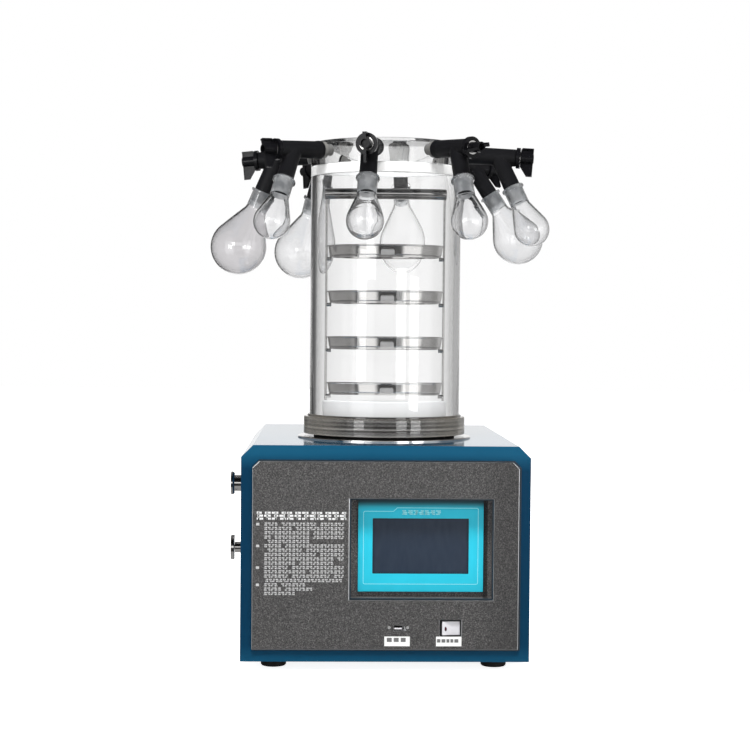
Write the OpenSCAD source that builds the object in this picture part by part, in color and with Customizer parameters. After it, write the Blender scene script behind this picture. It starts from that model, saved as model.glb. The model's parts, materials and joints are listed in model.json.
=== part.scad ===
// Bench-top freeze dryer: a refrigerated cabinet with a cold trap in its top, a clear
// drying chamber with four trays, and a manifold of eight plug valves, each with a flask.
// Millimetres. The origin is on the bench, under the middle of the whole machine.

/* [Cabinet] */
// Width across the side walls
cab_w = 460; // [450:2:480]
// Height of the housing above its feet
cab_h = 344; // [340:2:360]
// Depth from the front frame to the rear edge
cab_d = 590; // [580:5:620]
// Flat of the long top bevels
cab_bevel = 19; // [14:1:24]
// Thickness of the cabinet's sheet metal
sheet = 2; // [1.5:0.5:2.5]
// Height of the rubber feet
foot_h = 15; // [12:1:20]
// Diameter of the rubber feet
foot_d = 41; // [36:1:44]

/* [Front panel] */
// Width of the raised front panel
panel_w = 424; // [420:2:430]
// Height of the raised front panel
panel_h = 300; // [296:2:304]
// How far the panel stands out
panel_t = 5; // [4:0.5:6]
// Width of the operator screen
screen_w = 201; // [196:1:204]
// Height of the operator screen
screen_h = 148; // [144:1:149]
// Depth of the screen recess behind the cabinet front
recess_d = 30; // [24:1:36]

/* [Chamber] */
// Outer diameter of the clear chamber and its lid
chamber_d = 256; // [250:1:260]
// Wall of the clear chamber
chamber_wall = 10; // [8:0.5:11]
// Height of the clear tube
chamber_h = 435; // [433:1:440]
// Diameter of the smoky base flange
flange_d = 276; // [270:1:284]
// Diameter of the steel ring on the deck
deck_ring_d = 296; // [290:1:304]
// Inner diameter of the cold trap
trap_d = 200; // [190:1:200]
// Depth of the cold trap below the deck
trap_depth = 195; // [185:1:200]

/* [Trays] */
// Diameter of a tray at its rim
tray_d = 198; // [190:1:198]
// Height of a tray
tray_h = 18; // [16:1:22]
// Distance from one tray to the next
tray_pitch = 76; // [72:1:78]
// Number of trays in the rack
tray_count = 4; // [4:1:4]

/* [Manifold] */
// Number of valves round the lid
valve_count = 8; // [8:1:8]
// Diameter of a valve barrel
barrel_d = 29; // [27:0.5:30]
// Angle between a valve's branch and the plumb line of its barrel
branch_tilt = 29; // [24:1:31]
// Length of a branch from the barrel axis to the flask lip
branch_len = 60; // [56:1:62]
// Diameter of the bulb of a small flask
small_bulb_d = 60; // [54:1:62]
// Length of a small flask
small_len = 109; // [104:1:112]
// Diameter of the bulb of the middle-sized flask
middle_bulb_d = 89; // [84:1:92]
// Length of the middle-sized flask
middle_len = 138; // [132:1:142]
// Diameter of the bulb of a large flask
large_bulb_d = 97; // [90:1:100]
// Length of a large flask
large_len = 154; // [148:1:160]

/* [Hidden] */
$fn = 64;
eps = 0.01;

// Where the cabinet and the chamber stand, seen from the origin
cab_x = 5.8;
front_y = -268.5;
chamber_x = 9.8;
chamber_back = 225;
chamber_y = front_y + chamber_back;
deck_z = foot_h + cab_h;

// Cabinet openings
bevel_inner = cab_bevel - sheet * (2 - sqrt(2));
frame_border = 28;
rear_lip = 18;
deck_hole_d = 240;
port_z = 263;
drain_z = 153;
port_hole_d = 32;
port_pipe_r = 14;
port_bore_r = 12.5;
port_bite = 1;
drain_pipe_r = 6;
drain_hole_d = 22;
washer_t = 2.5;
drain_bore_r = 4.5;
stem_fit = 0.04;
foot_inset = 52;
foot_bolt_d = 6;
foot_hole_d = foot_bolt_d + 0.4;
inlet_z = 46;
inlet_w = 48;
inlet_h = 27;
inlet_fit = 0.2;

// Front panel layout, from the cabinet's centre line and underside
panel_z = 19.5;
panel_corner = 10;
recess_x = 57;
recess_w = 228;
recess_z = 180;
recess_h = 160;
recess_wall = 1.5;
screen_z = 182.5;
screen_t = 6;
window_w = 153;
window_h = 87;
rebate = 4;
rebate_d = 3;
display_gap = 0.3;
housing_w = 190;
housing_h = 136;
housing_d = 30;
usb_x = 21;
usb_z = 55.6;
usb_w = 15.6;
usb_h = 8.6;
usb_screw_gap = 14.7;
switch_x = 103.7;
switch_z = 54.6;
switch_w = 33;
switch_h = 25;
switch_d = 26;
rocker_w = 28.4;
rocker_h = 21.6;
rocker_lean = 8;
rocker_pivot_y = 3;
rocker_pin_r = 1.5;
rocker_pin_len = 24.2;
label_t = 0.8;
label_w = 40.5;
label_h = 15.4;
label_z = 33.8;

// Chamber stack, heights above the deck
ring_t = 3;
gasket_top = 7;
gasket_d = 241;
flange_top = 36.5;
bead_top = 40;
bead_d = 263;
trap_wall = 1.5;
seal_h = 17;
tube_top = gasket_top + chamber_h;
drum_z = tube_top + seal_h;
drum_h = 39.5;
drum_wall = 12;
lid_t = 5;
chamber_r = chamber_d / 2;
tube_inner_r = chamber_r - chamber_wall;

// Rack and trays, heights above the deck
base_drum_z = 7.5;
base_drum_top = 66;
base_drum_r = 106.5;
base_hole_r = 30;
rod_x = 101;
rod_r = 2;
handle_z = 410;
handle_r = 9;
tray_z = 79;
tray_wall = 1;
tray_slope = 3.5;
rim_r = 1;
hoop_t = 3;
hoop_w = 5;
peg_r = 3;
hoop_bite = 0.8;
peg_len = 9;
tab_w = 22;
tab_h = 9;

// Manifold
station_angle = 360 / valve_count;
first_angle = -100;
outlet_z = 481.5;
barrel_start = chamber_r + 8;
barrel_end = 222;
branch_x = 191;
branch_d = 28.6;
plug_r = 10;
plug_fit = 0.04;
plug_start = 176;
passage_r = 5;
stub_r = 9.5;
stub_start = chamber_r - 16;
stub_end = barrel_start + 14;
stub_collar_r = 14;
cone_len = 22;
collar_d = 35;
collar_len = 6.6;
hub_d = 17;
knob_len = 22;
wing_short = 17.5;
wing_long = 31;
wing_tip = 10;
wing_shoulder = 15;
wing_web = 2.4;
wing_rim_t = 4.4;
wing_rim = 2;
wing_cap_len = 19;
wing_cap_w = 6.6;
wing_cap_t = 2.6;
hub_hole_r = 5.9;
// How far each valve sags under its flask, turns about its barrel, and has its knob turned
droop = [2.7, 2.7, 3.8, 6.4, 3, 5.3, 4.8, 3];
twist = [1, -12, -11.5, -25, 0, 0, -2.5, 14];
knob_turn = [0, -60, 0, 0, 0, 0, 0, 0];
// Size of each flask: 0 is small, 1 is middle and 2 is large
flask_size = [0, 0, 0, 1, 2, 2, 2, 0];
flask_bulb_d = [small_bulb_d, middle_bulb_d, large_bulb_d];
flask_len = [small_len, middle_len, large_len];

// Flask neck
lip_r = 19;
lip_t = 3.5;
neck_r = 16;
neck_len = 34;
joint_len = 30;
joint_top_r = 13.9;
joint_end_r = 12.6;
joint_gap = 0.15;
glass = 1.8;
arc_steps = 18;

// Refrigeration
foam_r = 148;
foam_depth = 228;
foam_gap = 0.4;
coil_r = 89;
coil_tube_r = 4.75;
coil_turns = 7;
coil_pitch = 22;
coil_top = -22;
coil_sides = 8;
coil_steps = 14;
compressor_x = -120;
compressor_y = 478;
compressor_r = 72;
compressor_pipes = [[40, 40], [-40, 0]];
pipe_stub_top = 186;
condenser_x = 108;
condenser_y = 541;
condenser_w = 200;
condenser_h = 200;
condenser_t = 36;
condenser_z = 28;
fin_pitch = 8;
fan_y = 505;
fan_r = 88;
fan_hub_r = 24;
fan_shaft_r = 4;
fan_fit = 0.04;
fan_blades = 5;
fan_frame_d = 32;
blade_turn = 28;
pipe_r = 4;
drier_r = 14;
drier_len = 90;

BLUE = [0.05, 0.25, 0.37];
STEEL = [0.74, 0.74, 0.73];
DARK = [0.12, 0.12, 0.13];
PANEL = [0.33, 0.33, 0.33];
CLEAR = [0.85, 0.9, 0.92, 0.35];
SMOKY = [0.5, 0.48, 0.45, 0.6];
COPPER = [0.72, 0.42, 0.26];

// ---- Places ----

module in_cabinet() {
    translate([cab_x, front_y, foot_h]) children();
}

module on_deck() {
    translate([chamber_x, chamber_y, deck_z]) children();
}

// Station k of the manifold: +X points out along the barrel, from the chamber's axis
module at_station(k) {
    on_deck()
        rotate([0, 0, first_angle + station_angle * k])
            translate([chamber_r, 0, outlet_z])
                rotate([0, droop[k], 0])
                    translate([-chamber_r, 0, 0])
                        rotate([twist[k], 0, 0])
                            children();
}

// The branch of a valve: -Z runs down the branch from the barrel's axis
module down_branch() {
    translate([branch_x, 0, 0]) rotate([0, -branch_tilt, 0]) children();
}

module bar_x(x0, x1, r) {
    translate([x0, 0, 0]) rotate([0, 90, 0]) cylinder(r = r, h = x1 - x0);
}

module bar_y(y0, y1, r) {
    translate([0, y0, 0]) rotate([-90, 0, 0]) cylinder(r = r, h = y1 - y0);
}

module plate(w, d, h) {
    translate([-w / 2, 0, -h / 2]) cube([w, d, h]);
}

module ring(outer_r, inner_r, z0, z1) {
    translate([0, 0, z0])
        difference() {
            cylinder(r = outer_r, h = z1 - z0, $fn = 128);
            translate([0, 0, -1]) cylinder(r = inner_r, h = z1 - z0 + 2, $fn = 128);
        }
}

// A bent pipe through a list of points: straight lengths with round elbows
module pipe(points, r) {
    for (i = [0 : len(points) - 2]) {
        step = points[i + 1] - points[i];
        length = norm(step);
        translate(points[i])
            rotate([0, acos(step[2] / length), atan2(step[1], step[0])])
                cylinder(r = r, h = length, $fn = 24);
    }
    for (i = [1 : 1 : len(points) - 2])
        translate(points[i]) sphere(r = r, $fn = 24);
}

// ---- Cabinet ----

module housing_section(w, h, bevel) {
    polygon([
        [-w / 2, 0], [w / 2, 0], [w / 2, h - bevel], [w / 2 - bevel, h],
        [-w / 2 + bevel, h], [-w / 2, h - bevel]
    ]);
}

module housing_block(w, h, bevel, y0, y1) {
    translate([0, y1, 0]) rotate([90, 0, 0])
        linear_extrude(y1 - y0) housing_section(w, h, bevel);
}

module cabinet_shell() {
    inner_w = cab_w - 2 * sheet;
    color(BLUE) in_cabinet() difference() {
        housing_block(cab_w, cab_h, cab_bevel, 0, cab_d);
        translate([0, 0, -1])
            housing_block(inner_w, cab_h - sheet + 1, bevel_inner, sheet, cab_d - 3 * sheet);
        translate([0, 0, -1])
            housing_block(inner_w, cab_h - sheet + 1, bevel_inner, cab_d - 2 * sheet, cab_d + 1);
        translate([0, -1, cab_h / 2])
            plate(cab_w - 2 * frame_border, sheet + 2, cab_h - 2 * frame_border);
        translate([0, cab_d - 4 * sheet, cab_h / 2])
            plate(inner_w - 2 * rear_lip, 5 * sheet, cab_h - 2 * rear_lip);
        translate([chamber_x - cab_x, chamber_back, cab_h - sheet - 1])
            cylinder(d = deck_hole_d, h = sheet + 2, $fn = 128);
        translate([0, chamber_back, port_z]) bar_x(-cab_w / 2 - 1, -cab_w / 2 + sheet + 1, port_hole_d / 2);
        translate([0, chamber_back, drain_z]) bar_x(-cab_w / 2 - 1, -cab_w / 2 + sheet + 1, drain_hole_d / 2);
    }
}

module at_feet() {
    for (x = [-1, 1])
        for (y = [foot_inset, cab_d - foot_inset])
            translate([x * (cab_w / 2 - foot_inset), y, 0]) children();
}

module base_pan() {
    gap = 0.6;
    pan_w = cab_w - 2 * sheet - gap;
    pan_d = cab_d - 4 * sheet - gap;
    lip = 14;
    slot = [70, 6];
    slot_pitch = 18;
    first_slot = [-110, 150];
    color(BLUE) in_cabinet() difference() {
        translate([-pan_w / 2, sheet + gap / 2, 0]) cube([pan_w, pan_d, lip]);
        translate([-pan_w / 2 + sheet, 0, sheet]) cube([pan_w - 2 * sheet, cab_d, lip]);
        at_feet() translate([0, 0, -1]) cylinder(d = foot_hole_d, h = sheet + 2);
        for (i = [0 : 7])
            translate([first_slot.x, first_slot.y + i * slot_pitch, -1])
                cube([slot.x, slot.y, sheet + 2]);
    }
}

module rear_panel() {
    gap = 0.6;
    seat = 0.1;
    slot_h = 6;
    slot_pitch = 15;
    upper_slot_w = 110;
    color(BLUE) in_cabinet() difference() {
        housing_block(cab_w - 2 * sheet - gap, cab_h - sheet - gap, bevel_inner,
            cab_d - 2 * sheet + seat, cab_d - sheet + seat);
        for (i = [0 : 11])
            translate([condenser_x, cab_d - 3 * sheet, condenser_z + 18 + i * slot_pitch])
                plate(condenser_w - 2 * slot_pitch, 3 * sheet, slot_h);
        for (i = [0 : 5])
            translate([compressor_x, cab_d - 3 * sheet, condenser_z + 60 + i * slot_pitch])
                plate(upper_slot_w, 3 * sheet, slot_h);
        translate([compressor_x, cab_d - 3 * sheet, inlet_z])
            plate(inlet_w + 2 * inlet_fit, 3 * sheet, inlet_h + 2 * inlet_fit);
    }
}

module foot_body() {
    toe = 1.5;
    pocket_d = 15;
    pocket_h = 7;
    translate([0, 0, -foot_h])
        difference() {
            union() {
                cylinder(d = foot_d - 2 * toe, h = toe + 0.5);
                translate([0, 0, toe]) cylinder(d = foot_d, h = foot_h - toe);
            }
            translate([0, 0, -1]) cylinder(d = pocket_d, h = pocket_h + 1);
            cylinder(d = foot_hole_d, h = foot_h + 1);
        }
}

module feet() {
    color(DARK) in_cabinet() at_feet() foot_body();
}

module foot_screws() {
    head_d = 12;
    head_h = 3.5;
    nut_d = 11;
    nut_h = 5;
    color(STEEL) in_cabinet() at_feet() {
        translate([0, 0, -foot_h + head_h]) cylinder(d = head_d, h = head_h);
        translate([0, 0, -foot_h + 2 * head_h - 1]) cylinder(d = foot_bolt_d, h = foot_h);
        translate([0, 0, sheet]) cylinder(d = nut_d, h = nut_h, $fn = 6);
    }
}

// ---- Front panel ----

module front_panel() {
    color(PANEL) in_cabinet() difference() {
        translate([0, 0, panel_z]) housing_block(panel_w, panel_h, panel_corner, -panel_t, 0);
        translate([recess_x, -panel_t - 1, recess_z]) plate(recess_w, panel_t + 2, recess_h);
        translate([usb_x, -panel_t - 1, usb_z]) plate(usb_w, panel_t + 2, usb_h);
        translate([switch_x, -panel_t - 1, switch_z]) plate(switch_w, panel_t + 2, switch_h);
    }
}

module screen_recess() {
    outer_w = recess_w + 2 * recess_wall;
    outer_h = recess_h + 2 * recess_wall;
    color(PANEL) in_cabinet() translate([recess_x, 0, recess_z]) difference() {
        plate(outer_w, recess_d, outer_h);
        translate([0, -1, 0]) plate(recess_w, recess_d - recess_wall + 1, recess_h);
        translate([0, -1, screen_z - recess_z]) plate(housing_w, recess_d + 2, housing_h);
    }
}

module screen_bezel() {
    color("deepskyblue") in_cabinet() translate([recess_x, recess_d - recess_wall, screen_z])
        difference() {
            translate([0, -screen_t, 0]) plate(screen_w, screen_t, screen_h);
            translate([0, -screen_t - 1, 0]) plate(window_w, screen_t - 2, window_h);
            translate([0, -rebate_d, 0])
                plate(window_w + 2 * rebate, rebate_d + 1, window_h + 2 * rebate);
        }
}

module screen_display() {
    color([0.16, 0.2, 0.27]) in_cabinet()
        translate([recess_x, recess_d - recess_wall - rebate_d, screen_z])
            plate(window_w + 2 * (rebate - display_gap), rebate_d - 0.4,
                window_h + 2 * (rebate - display_gap));
}

module screen_housing() {
    socket_d = 8;
    socket_h = 24;
    slot_w = 133;
    slot_h = 2;
    slot_pitch = 6;
    color(DARK) in_cabinet() translate([recess_x, recess_d - recess_wall, screen_z])
        difference() {
            plate(housing_w - 0.4, housing_d, housing_h - 0.4);
            translate([0, housing_d - socket_d, -housing_h / 4])
                plate(housing_w / 2, socket_d + 2, socket_h);
            for (i = [0 : 7])
                translate([0, housing_d - slot_h, 10 + i * slot_pitch])
                    plate(slot_w, slot_h + 1, slot_h);
        }
}

module usb_socket() {
    body_d = 22;
    mouth = [12.6, 14, 5.2];
    tongue = [11.4, 13, 1.9];
    color(DARK) in_cabinet() translate([usb_x, -panel_t - 0.6, usb_z]) {
        difference() {
            plate(usb_w - 0.2, body_d, usb_h - 0.2);
            translate([0, -1, 0]) plate(mouth.x, mouth.y + 1, mouth.z);
        }
        color("white") translate([0, mouth.y - tongue.y + 0.5, -0.4])
            plate(tongue.x, tongue.y, tongue.z);
    }
}

module usb_screws() {
    head_t = 1.2;
    head_r = 2.3;
    cross = 3.2;
    cross_w = 0.7;
    color(STEEL) in_cabinet()
        for (side = [-1, 1])
            translate([usb_x + side * usb_screw_gap, -panel_t, usb_z])
                difference() {
                    bar_y(-head_t, 0, head_r);
                    translate([0, -head_t - 0.1, 0]) plate(cross, cross_w, cross_w);
                    translate([0, -head_t - 0.1, 0]) plate(cross_w, cross_w, cross);
                }
}

module switch_housing() {
    blade = [0.8, 10, 6.3];
    color(DARK) in_cabinet() translate([switch_x, -panel_t - 1, switch_z]) {
        difference() {
            plate(switch_w - 0.2, switch_d, switch_h - 0.2);
            translate([0, -1, 0]) plate(switch_w - 2, switch_d - 8, switch_h - 2.4);
            translate([0, rocker_pivot_y + panel_t + 1, -switch_h])
                cylinder(r = rocker_pin_r + 0.05, h = 2 * switch_h);
        }
        for (x = [-10, 0, 10])
            translate([x, switch_d, 0]) plate(blade.x, blade.y, blade.z);
    }
}

// A shallow V seen from above, leaning on its right half
module rocker() {
    half = rocker_w / 2;
    front = 5.5;
    side_back = 1.2;
    heel = [4, 3];
    dip = half * tan(rocker_lean);
    color("gainsboro") in_cabinet() translate([switch_x, rocker_pivot_y, switch_z]) {
        rotate([0, 0, rocker_lean])
            translate([0, 0, -rocker_h / 2])
                linear_extrude(rocker_h)
                    polygon([
                        [-half, -front - dip], [0, -front], [half, -front - dip],
                        [half, -side_back], heel, [-heel.x, heel.y], [-half, -side_back]
                    ]);
        translate([0, 0, -rocker_pin_len / 2]) cylinder(r = rocker_pin_r, h = rocker_pin_len);
    }
}

module label_plates() {
    color("white") in_cabinet()
        for (x = [usb_x - 2, switch_x - 2.5])
            translate([x, -panel_t - label_t, label_z]) plate(label_w, label_t, label_h);
}

// ---- Side ports ----

module vacuum_port() {
    face_x = -cab_w / 2 - 27;
    inner_x = chamber_x - cab_x - trap_d / 2 + port_bite;
    rim_end_r = 20;
    rim_back_r = 17.5;
    rim_flat = 3;
    rim_cone = 3.2;
    washer_r = 21;
    color(STEEL) in_cabinet() translate([0, chamber_back, port_z]) difference() {
        union() {
            bar_x(face_x, inner_x, port_pipe_r);
            bar_x(face_x, face_x + rim_flat, rim_end_r);
            translate([face_x + rim_flat, 0, 0]) rotate([0, 90, 0])
                cylinder(r1 = rim_end_r, r2 = rim_back_r, h = rim_cone);
            bar_x(-cab_w / 2 - washer_t, -cab_w / 2, washer_r);
        }
        bar_x(face_x - 1, inner_x + 1, port_bore_r);
    }
}

module drain_valve() {
    outer_x = -cab_w / 2 - 20;
    body_end = -cab_w / 2 + 10;
    inner_x = chamber_x - cab_x - trap_d / 2 + port_bite;
    body_r = 9.2;
    washer_r = 15;
    color(STEEL) in_cabinet() translate([0, chamber_back, drain_z]) difference() {
        union() {
            bar_x(outer_x, body_end, body_r);
            bar_x(-cab_w / 2 - washer_t, -cab_w / 2, washer_r);
            bar_x(body_end - 1, inner_x, drain_pipe_r);
        }
        bar_x(outer_x - 1, inner_x + 1, drain_bore_r);
    }
}

module drain_knob() {
    outer_x = -cab_w / 2 - 20.4;
    stem_len = 22;
    color(STEEL) in_cabinet() translate([0, chamber_back, drain_z]) {
        bar_x(outer_x, outer_x + stem_len, drain_bore_r - stem_fit);
        translate([outer_x, 0, 0]) rotate([0, -90, 0])
            rotate_extrude($fn = 96)
                polygon([
                    [0, 0], [20.6, 0], [21.5, 0.9], [21.5, 5], [20.6, 6.2], [17, 6.6],
                    [15, 5.8], [6, 5.8], [4, 6.6], [0, 6.6]
                ]);
    }
}

// ---- Cold trap and refrigeration ----

module deck_ring() {
    color(STEEL) on_deck() difference() {
        union() {
            cylinder(d = deck_ring_d, h = ring_t - 1, $fn = 128);
            cylinder(d = deck_ring_d - 3, h = ring_t, $fn = 128);
        }
        translate([0, 0, -1]) cylinder(r = trap_d / 2 + trap_wall, h = ring_t + 2, $fn = 128);
    }
}

module cold_trap() {
    outer_r = trap_d / 2 + trap_wall;
    color(STEEL) on_deck() difference() {
        translate([0, 0, -trap_depth - trap_wall])
            cylinder(r = outer_r, h = trap_depth + trap_wall + ring_t, $fn = 128);
        translate([0, 0, -trap_depth])
            cylinder(r = trap_d / 2, h = trap_depth + ring_t + 1, $fn = 128);
        translate([0, 0, port_z - cab_h]) bar_x(-outer_r - 1, -trap_d / 2 + 10, port_pipe_r);
        translate([0, 0, drain_z - cab_h]) bar_x(-outer_r - 1, -trap_d / 2 + 10, drain_pipe_r);
        for (z = [coil_top, coil_top - coil_turns * coil_pitch])
            translate([0, 0, z]) bar_y(trap_d / 2 - 10, outer_r + 1, pipe_r + 0.1);
    }
}

// The coil is wound from the back of the trap downwards, with a short leg through the wall
function coil_point(i) =
    let (a = 90 + 360 * i / coil_steps)
    [coil_r * cos(a), coil_r * sin(a), coil_top - coil_pitch * i / coil_steps];
function coil_ring(i) =
    let (a = 90 + 360 * i / coil_steps)
    [for (s = [0 : coil_sides - 1])
        let (b = 360 * s / coil_sides)
        coil_point(i) + coil_tube_r * [cos(b) * cos(a), cos(b) * sin(a), sin(b)]];

module trap_coil() {
    count = coil_turns * coil_steps;
    points = [for (i = [0 : count]) each coil_ring(i)];
    sides = [
        for (i = [0 : count - 1]) for (s = [0 : coil_sides - 1])
            let (a = i * coil_sides + s, b = i * coil_sides + (s + 1) % coil_sides)
            [a, b, b + coil_sides, a + coil_sides]
    ];
    start_cap = [for (s = [coil_sides - 1 : -1 : 0]) s];
    end_cap = [for (s = [0 : coil_sides - 1]) count * coil_sides + s];
    color(STEEL) on_deck() {
        polyhedron(points, concat(sides, [start_cap, end_cap]));
        for (i = [0, count])
            translate([0, 0, coil_point(i)[2]])
                bar_y(coil_r, trap_d / 2 + trap_wall + 6, pipe_r);
    }
}

module trap_foam() {
    inner_r = trap_d / 2 + trap_wall + foam_gap;
    color("khaki") on_deck() difference() {
        translate([0, 0, -foam_depth]) cylinder(r = foam_r, h = foam_depth - sheet - 1, $fn = 96);
        translate([0, 0, -trap_depth - trap_wall - foam_gap])
            cylinder(r = inner_r, h = foam_depth, $fn = 96);
        translate([0, 0, port_z - cab_h]) bar_x(-foam_r - 1, 0, port_pipe_r + foam_gap);
        translate([0, 0, drain_z - cab_h]) bar_x(-foam_r - 1, 0, drain_pipe_r + foam_gap);
        for (z = [coil_top, coil_top - coil_turns * coil_pitch])
            translate([0, 0, z]) bar_y(0, foam_r + 1, pipe_r + foam_gap);
    }
}

module compressor() {
    mount_r = compressor_r + 6;
    rubber_r = 9;
    strap_z = 14;
    strap_t = 4;
    strap_w = 24;
    seam_low = 92;
    seam_high = 98;
    seam_out = 3;
    stub_z = 140;
    color(DARK) in_cabinet() translate([compressor_x, compressor_y, sheet]) {
        for (a = [20 : 90 : 290])
            rotate([0, 0, a]) {
                translate([mount_r, 0, 0]) cylinder(r = rubber_r, h = strap_z + 1);
                translate([mount_r, 0, strap_z]) cylinder(r = strap_w / 2 + 2, h = strap_t);
                translate([10, -strap_w / 2, strap_z]) cube([mount_r - 10, strap_w, strap_t]);
            }
        translate([0, 0, strap_z + strap_t / 2]) rotate_extrude($fn = 64)
            polygon([
                [0, 0], [52, 0], [66, 8], [compressor_r, 20], [compressor_r, seam_low],
                [compressor_r + seam_out, seam_low], [compressor_r + seam_out, seam_high],
                [compressor_r, seam_high], [compressor_r - 2, 130], [60, 152], [40, 163], [0, 168]
            ]);
        for (p = compressor_pipes)
            translate([p.x, p.y, stub_z])
                cylinder(r = pipe_r + 2.5, h = pipe_stub_top - sheet - stub_z);
    }
}

module condenser() {
    tubes_z = [24, 62, 100, 138, 176];
    tube_r = 4.7;
    tube_over = 6;
    side_t = 2;
    fin_t = 0.8;
    fin_inset = 6;
    color("silver") in_cabinet()
        translate([condenser_x, condenser_y, condenser_z]) {
            for (x = [-condenser_w / 2, condenser_w / 2 - side_t])
                translate([x, -condenser_t / 2, 0]) cube([side_t, condenser_t, condenser_h]);
            for (x = [-condenser_w / 2 + fin_pitch : fin_pitch : condenser_w / 2 - fin_pitch])
                translate([x, -condenser_t / 2 + side_t, fin_inset])
                    cube([fin_t, condenser_t - 2 * side_t, condenser_h - 2 * fin_inset]);
            for (z = tubes_z)
                translate([0, 0, z])
                    bar_x(-condenser_w / 2 - tube_over, condenser_w / 2 + tube_over, tube_r);
            translate([-condenser_w / 2, -condenser_t / 2, 0])
                cube([condenser_w, condenser_t, side_t]);
        }
}

module fan_frame() {
    side = 2 * fan_r + 14;
    back_y = -14;
    spoke_t = 4;
    spoke_w = 6;
    boss_r = 20;
    color(DARK) in_cabinet() translate([condenser_x, fan_y, condenser_z + condenser_h / 2]) {
        difference() {
            translate([0, back_y, 0]) plate(side, fan_frame_d, side);
            bar_y(back_y - 6, back_y + fan_frame_d + 12, fan_r + 2);
        }
        bar_y(back_y, -4, boss_r);
        bar_y(back_y, 14, fan_shaft_r);
        for (a = [0 : 90 : 270])
            rotate([0, a, 0]) translate([boss_r - 2, back_y, -spoke_w / 2])
                cube([fan_r - 12, spoke_t, spoke_w]);
    }
}

module fan_rotor() {
    bore_r = fan_shaft_r + fan_fit;
    color("dimgray") in_cabinet() translate([condenser_x, fan_y, condenser_z + condenser_h / 2])
        difference() {
            union() {
                bar_y(-3, 13, fan_hub_r);
                for (i = [0 : fan_blades - 1])
                    rotate([0, i * 360 / fan_blades, 0])
                        translate([fan_hub_r - 4, 5, 0])
                            rotate([blade_turn, 0, 0])
                                translate([0, -1, -15]) cube([fan_r - fan_hub_r, 2, 30]);
            }
            bar_y(-4, 14, bore_r);
        }
}

module cooling_pipes() {
    high_z = condenser_z + 176;
    low_z = condenser_z + 24;
    trap_in_z = cab_h + coil_top;
    trap_out_z = cab_h + coil_top - coil_turns * coil_pitch;
    trap_x = chamber_x - cab_x;
    trap_back_y = chamber_back + trap_d / 2 + trap_wall + 6;
    hot_z = 290;
    return_y = 400;
    return_z = 260;
    condenser_side_x = condenser_x - condenser_w / 2 - 6;
    riser_x = condenser_side_x - 8;
    hot = [compressor_x + compressor_pipes[0].x, compressor_y + compressor_pipes[0].y];
    cold = [compressor_x + compressor_pipes[1].x, compressor_y + compressor_pipes[1].y];
    drier = [-10, 420, 90];
    color(COPPER) in_cabinet() {
        pipe([
            [hot.x, hot.y, pipe_stub_top + 0.1], [hot.x, hot.y, hot_z],
            [riser_x, hot.y, hot_z], [riser_x, condenser_y, hot_z],
            [riser_x, condenser_y, high_z], [condenser_side_x, condenser_y, high_z]
        ], pipe_r);
        pipe([
            [condenser_side_x, condenser_y, low_z], [drier.x, condenser_y, low_z],
            [drier.x, drier.y, low_z], drier
        ], pipe_r);
        translate(drier) cylinder(r = drier_r, h = drier_len);
        pipe([
            [drier.x, drier.y, drier.z + drier_len], [drier.x, drier.y, trap_in_z],
            [trap_x, drier.y, trap_in_z], [trap_x, trap_back_y, trap_in_z]
        ], pipe_r);
        pipe([
            [trap_x, trap_back_y, trap_out_z], [trap_x, return_y, trap_out_z],
            [compressor_x + 60, return_y, trap_out_z], [compressor_x + 60, return_y, return_z],
            [cold.x, return_y, return_z], [cold.x, cold.y, return_z],
            [cold.x, cold.y, pipe_stub_top + 0.1]
        ], pipe_r);
    }
}

module controller_board() {
    board = [1.6, 130, 170];
    corner = [200, 90, 70];
    spacer_len = cab_w / 2 - sheet - corner.x - board.x;
    color("seagreen") in_cabinet() translate(corner) {
        cube(board);
        color("black") translate([-14, 20, 20]) cube([14, 40, 30]);
        color("white") translate([-18, 80, 20]) cube([18, 30, 60]);
        color("gray") translate([-24, 15, 80]) cube([24, 50, 60]);
        for (i = [0 : 3])
            translate([-22, 76 + i * 13, 120]) rotate([0, 90, 0]) cylinder(r = 5, h = 22);
        for (y = [8, 122], z = [8, 162])
            translate([board.x, y, z]) rotate([0, 90, 0]) cylinder(r = 3, h = spacer_len);
    }
}

module power_inlet() {
    rim = 3;
    body_d = 24;
    mouth = [24.5, 16, 16.5];
    pin = [2, 14, 4];
    color(DARK) in_cabinet() translate([compressor_x, cab_d - sheet + 0.1, inlet_z]) {
        difference() {
            union() {
                plate(inlet_w + 2 * rim, rim, inlet_h + 2 * rim);
                translate([0, -body_d, 0]) plate(inlet_w, body_d + 1, inlet_h);
            }
            translate([0, -mouth.y, 0]) plate(mouth.x, mouth.y + 4, mouth.z);
        }
        for (x = [-7, 0, 7])
            translate([x, -mouth.y - eps, x == 0 ? 2.5 : -1.5]) plate(pin.x, pin.y, pin.z);
    }
}

// ---- Chamber ----

module chamber_gasket() {
    color(DARK) on_deck() ring(gasket_d / 2, 104, ring_t, gasket_top);
}

module chamber_flange() {
    flange_r = flange_d / 2;
    color(SMOKY) on_deck() rotate_extrude($fn = 128)
        polygon([
            [chamber_r, gasket_top], [flange_r - 1, gasket_top], [flange_r, gasket_top + 1],
            [flange_r, flange_top - 2], [flange_r - 2, flange_top], [bead_d / 2, flange_top],
            [bead_d / 2, bead_top - 1], [bead_d / 2 - 1, bead_top], [chamber_r, bead_top]
        ]);
}

module chamber_tube() {
    color(CLEAR) on_deck() ring(chamber_r, tube_inner_r, gasket_top, tube_top);
}

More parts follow.
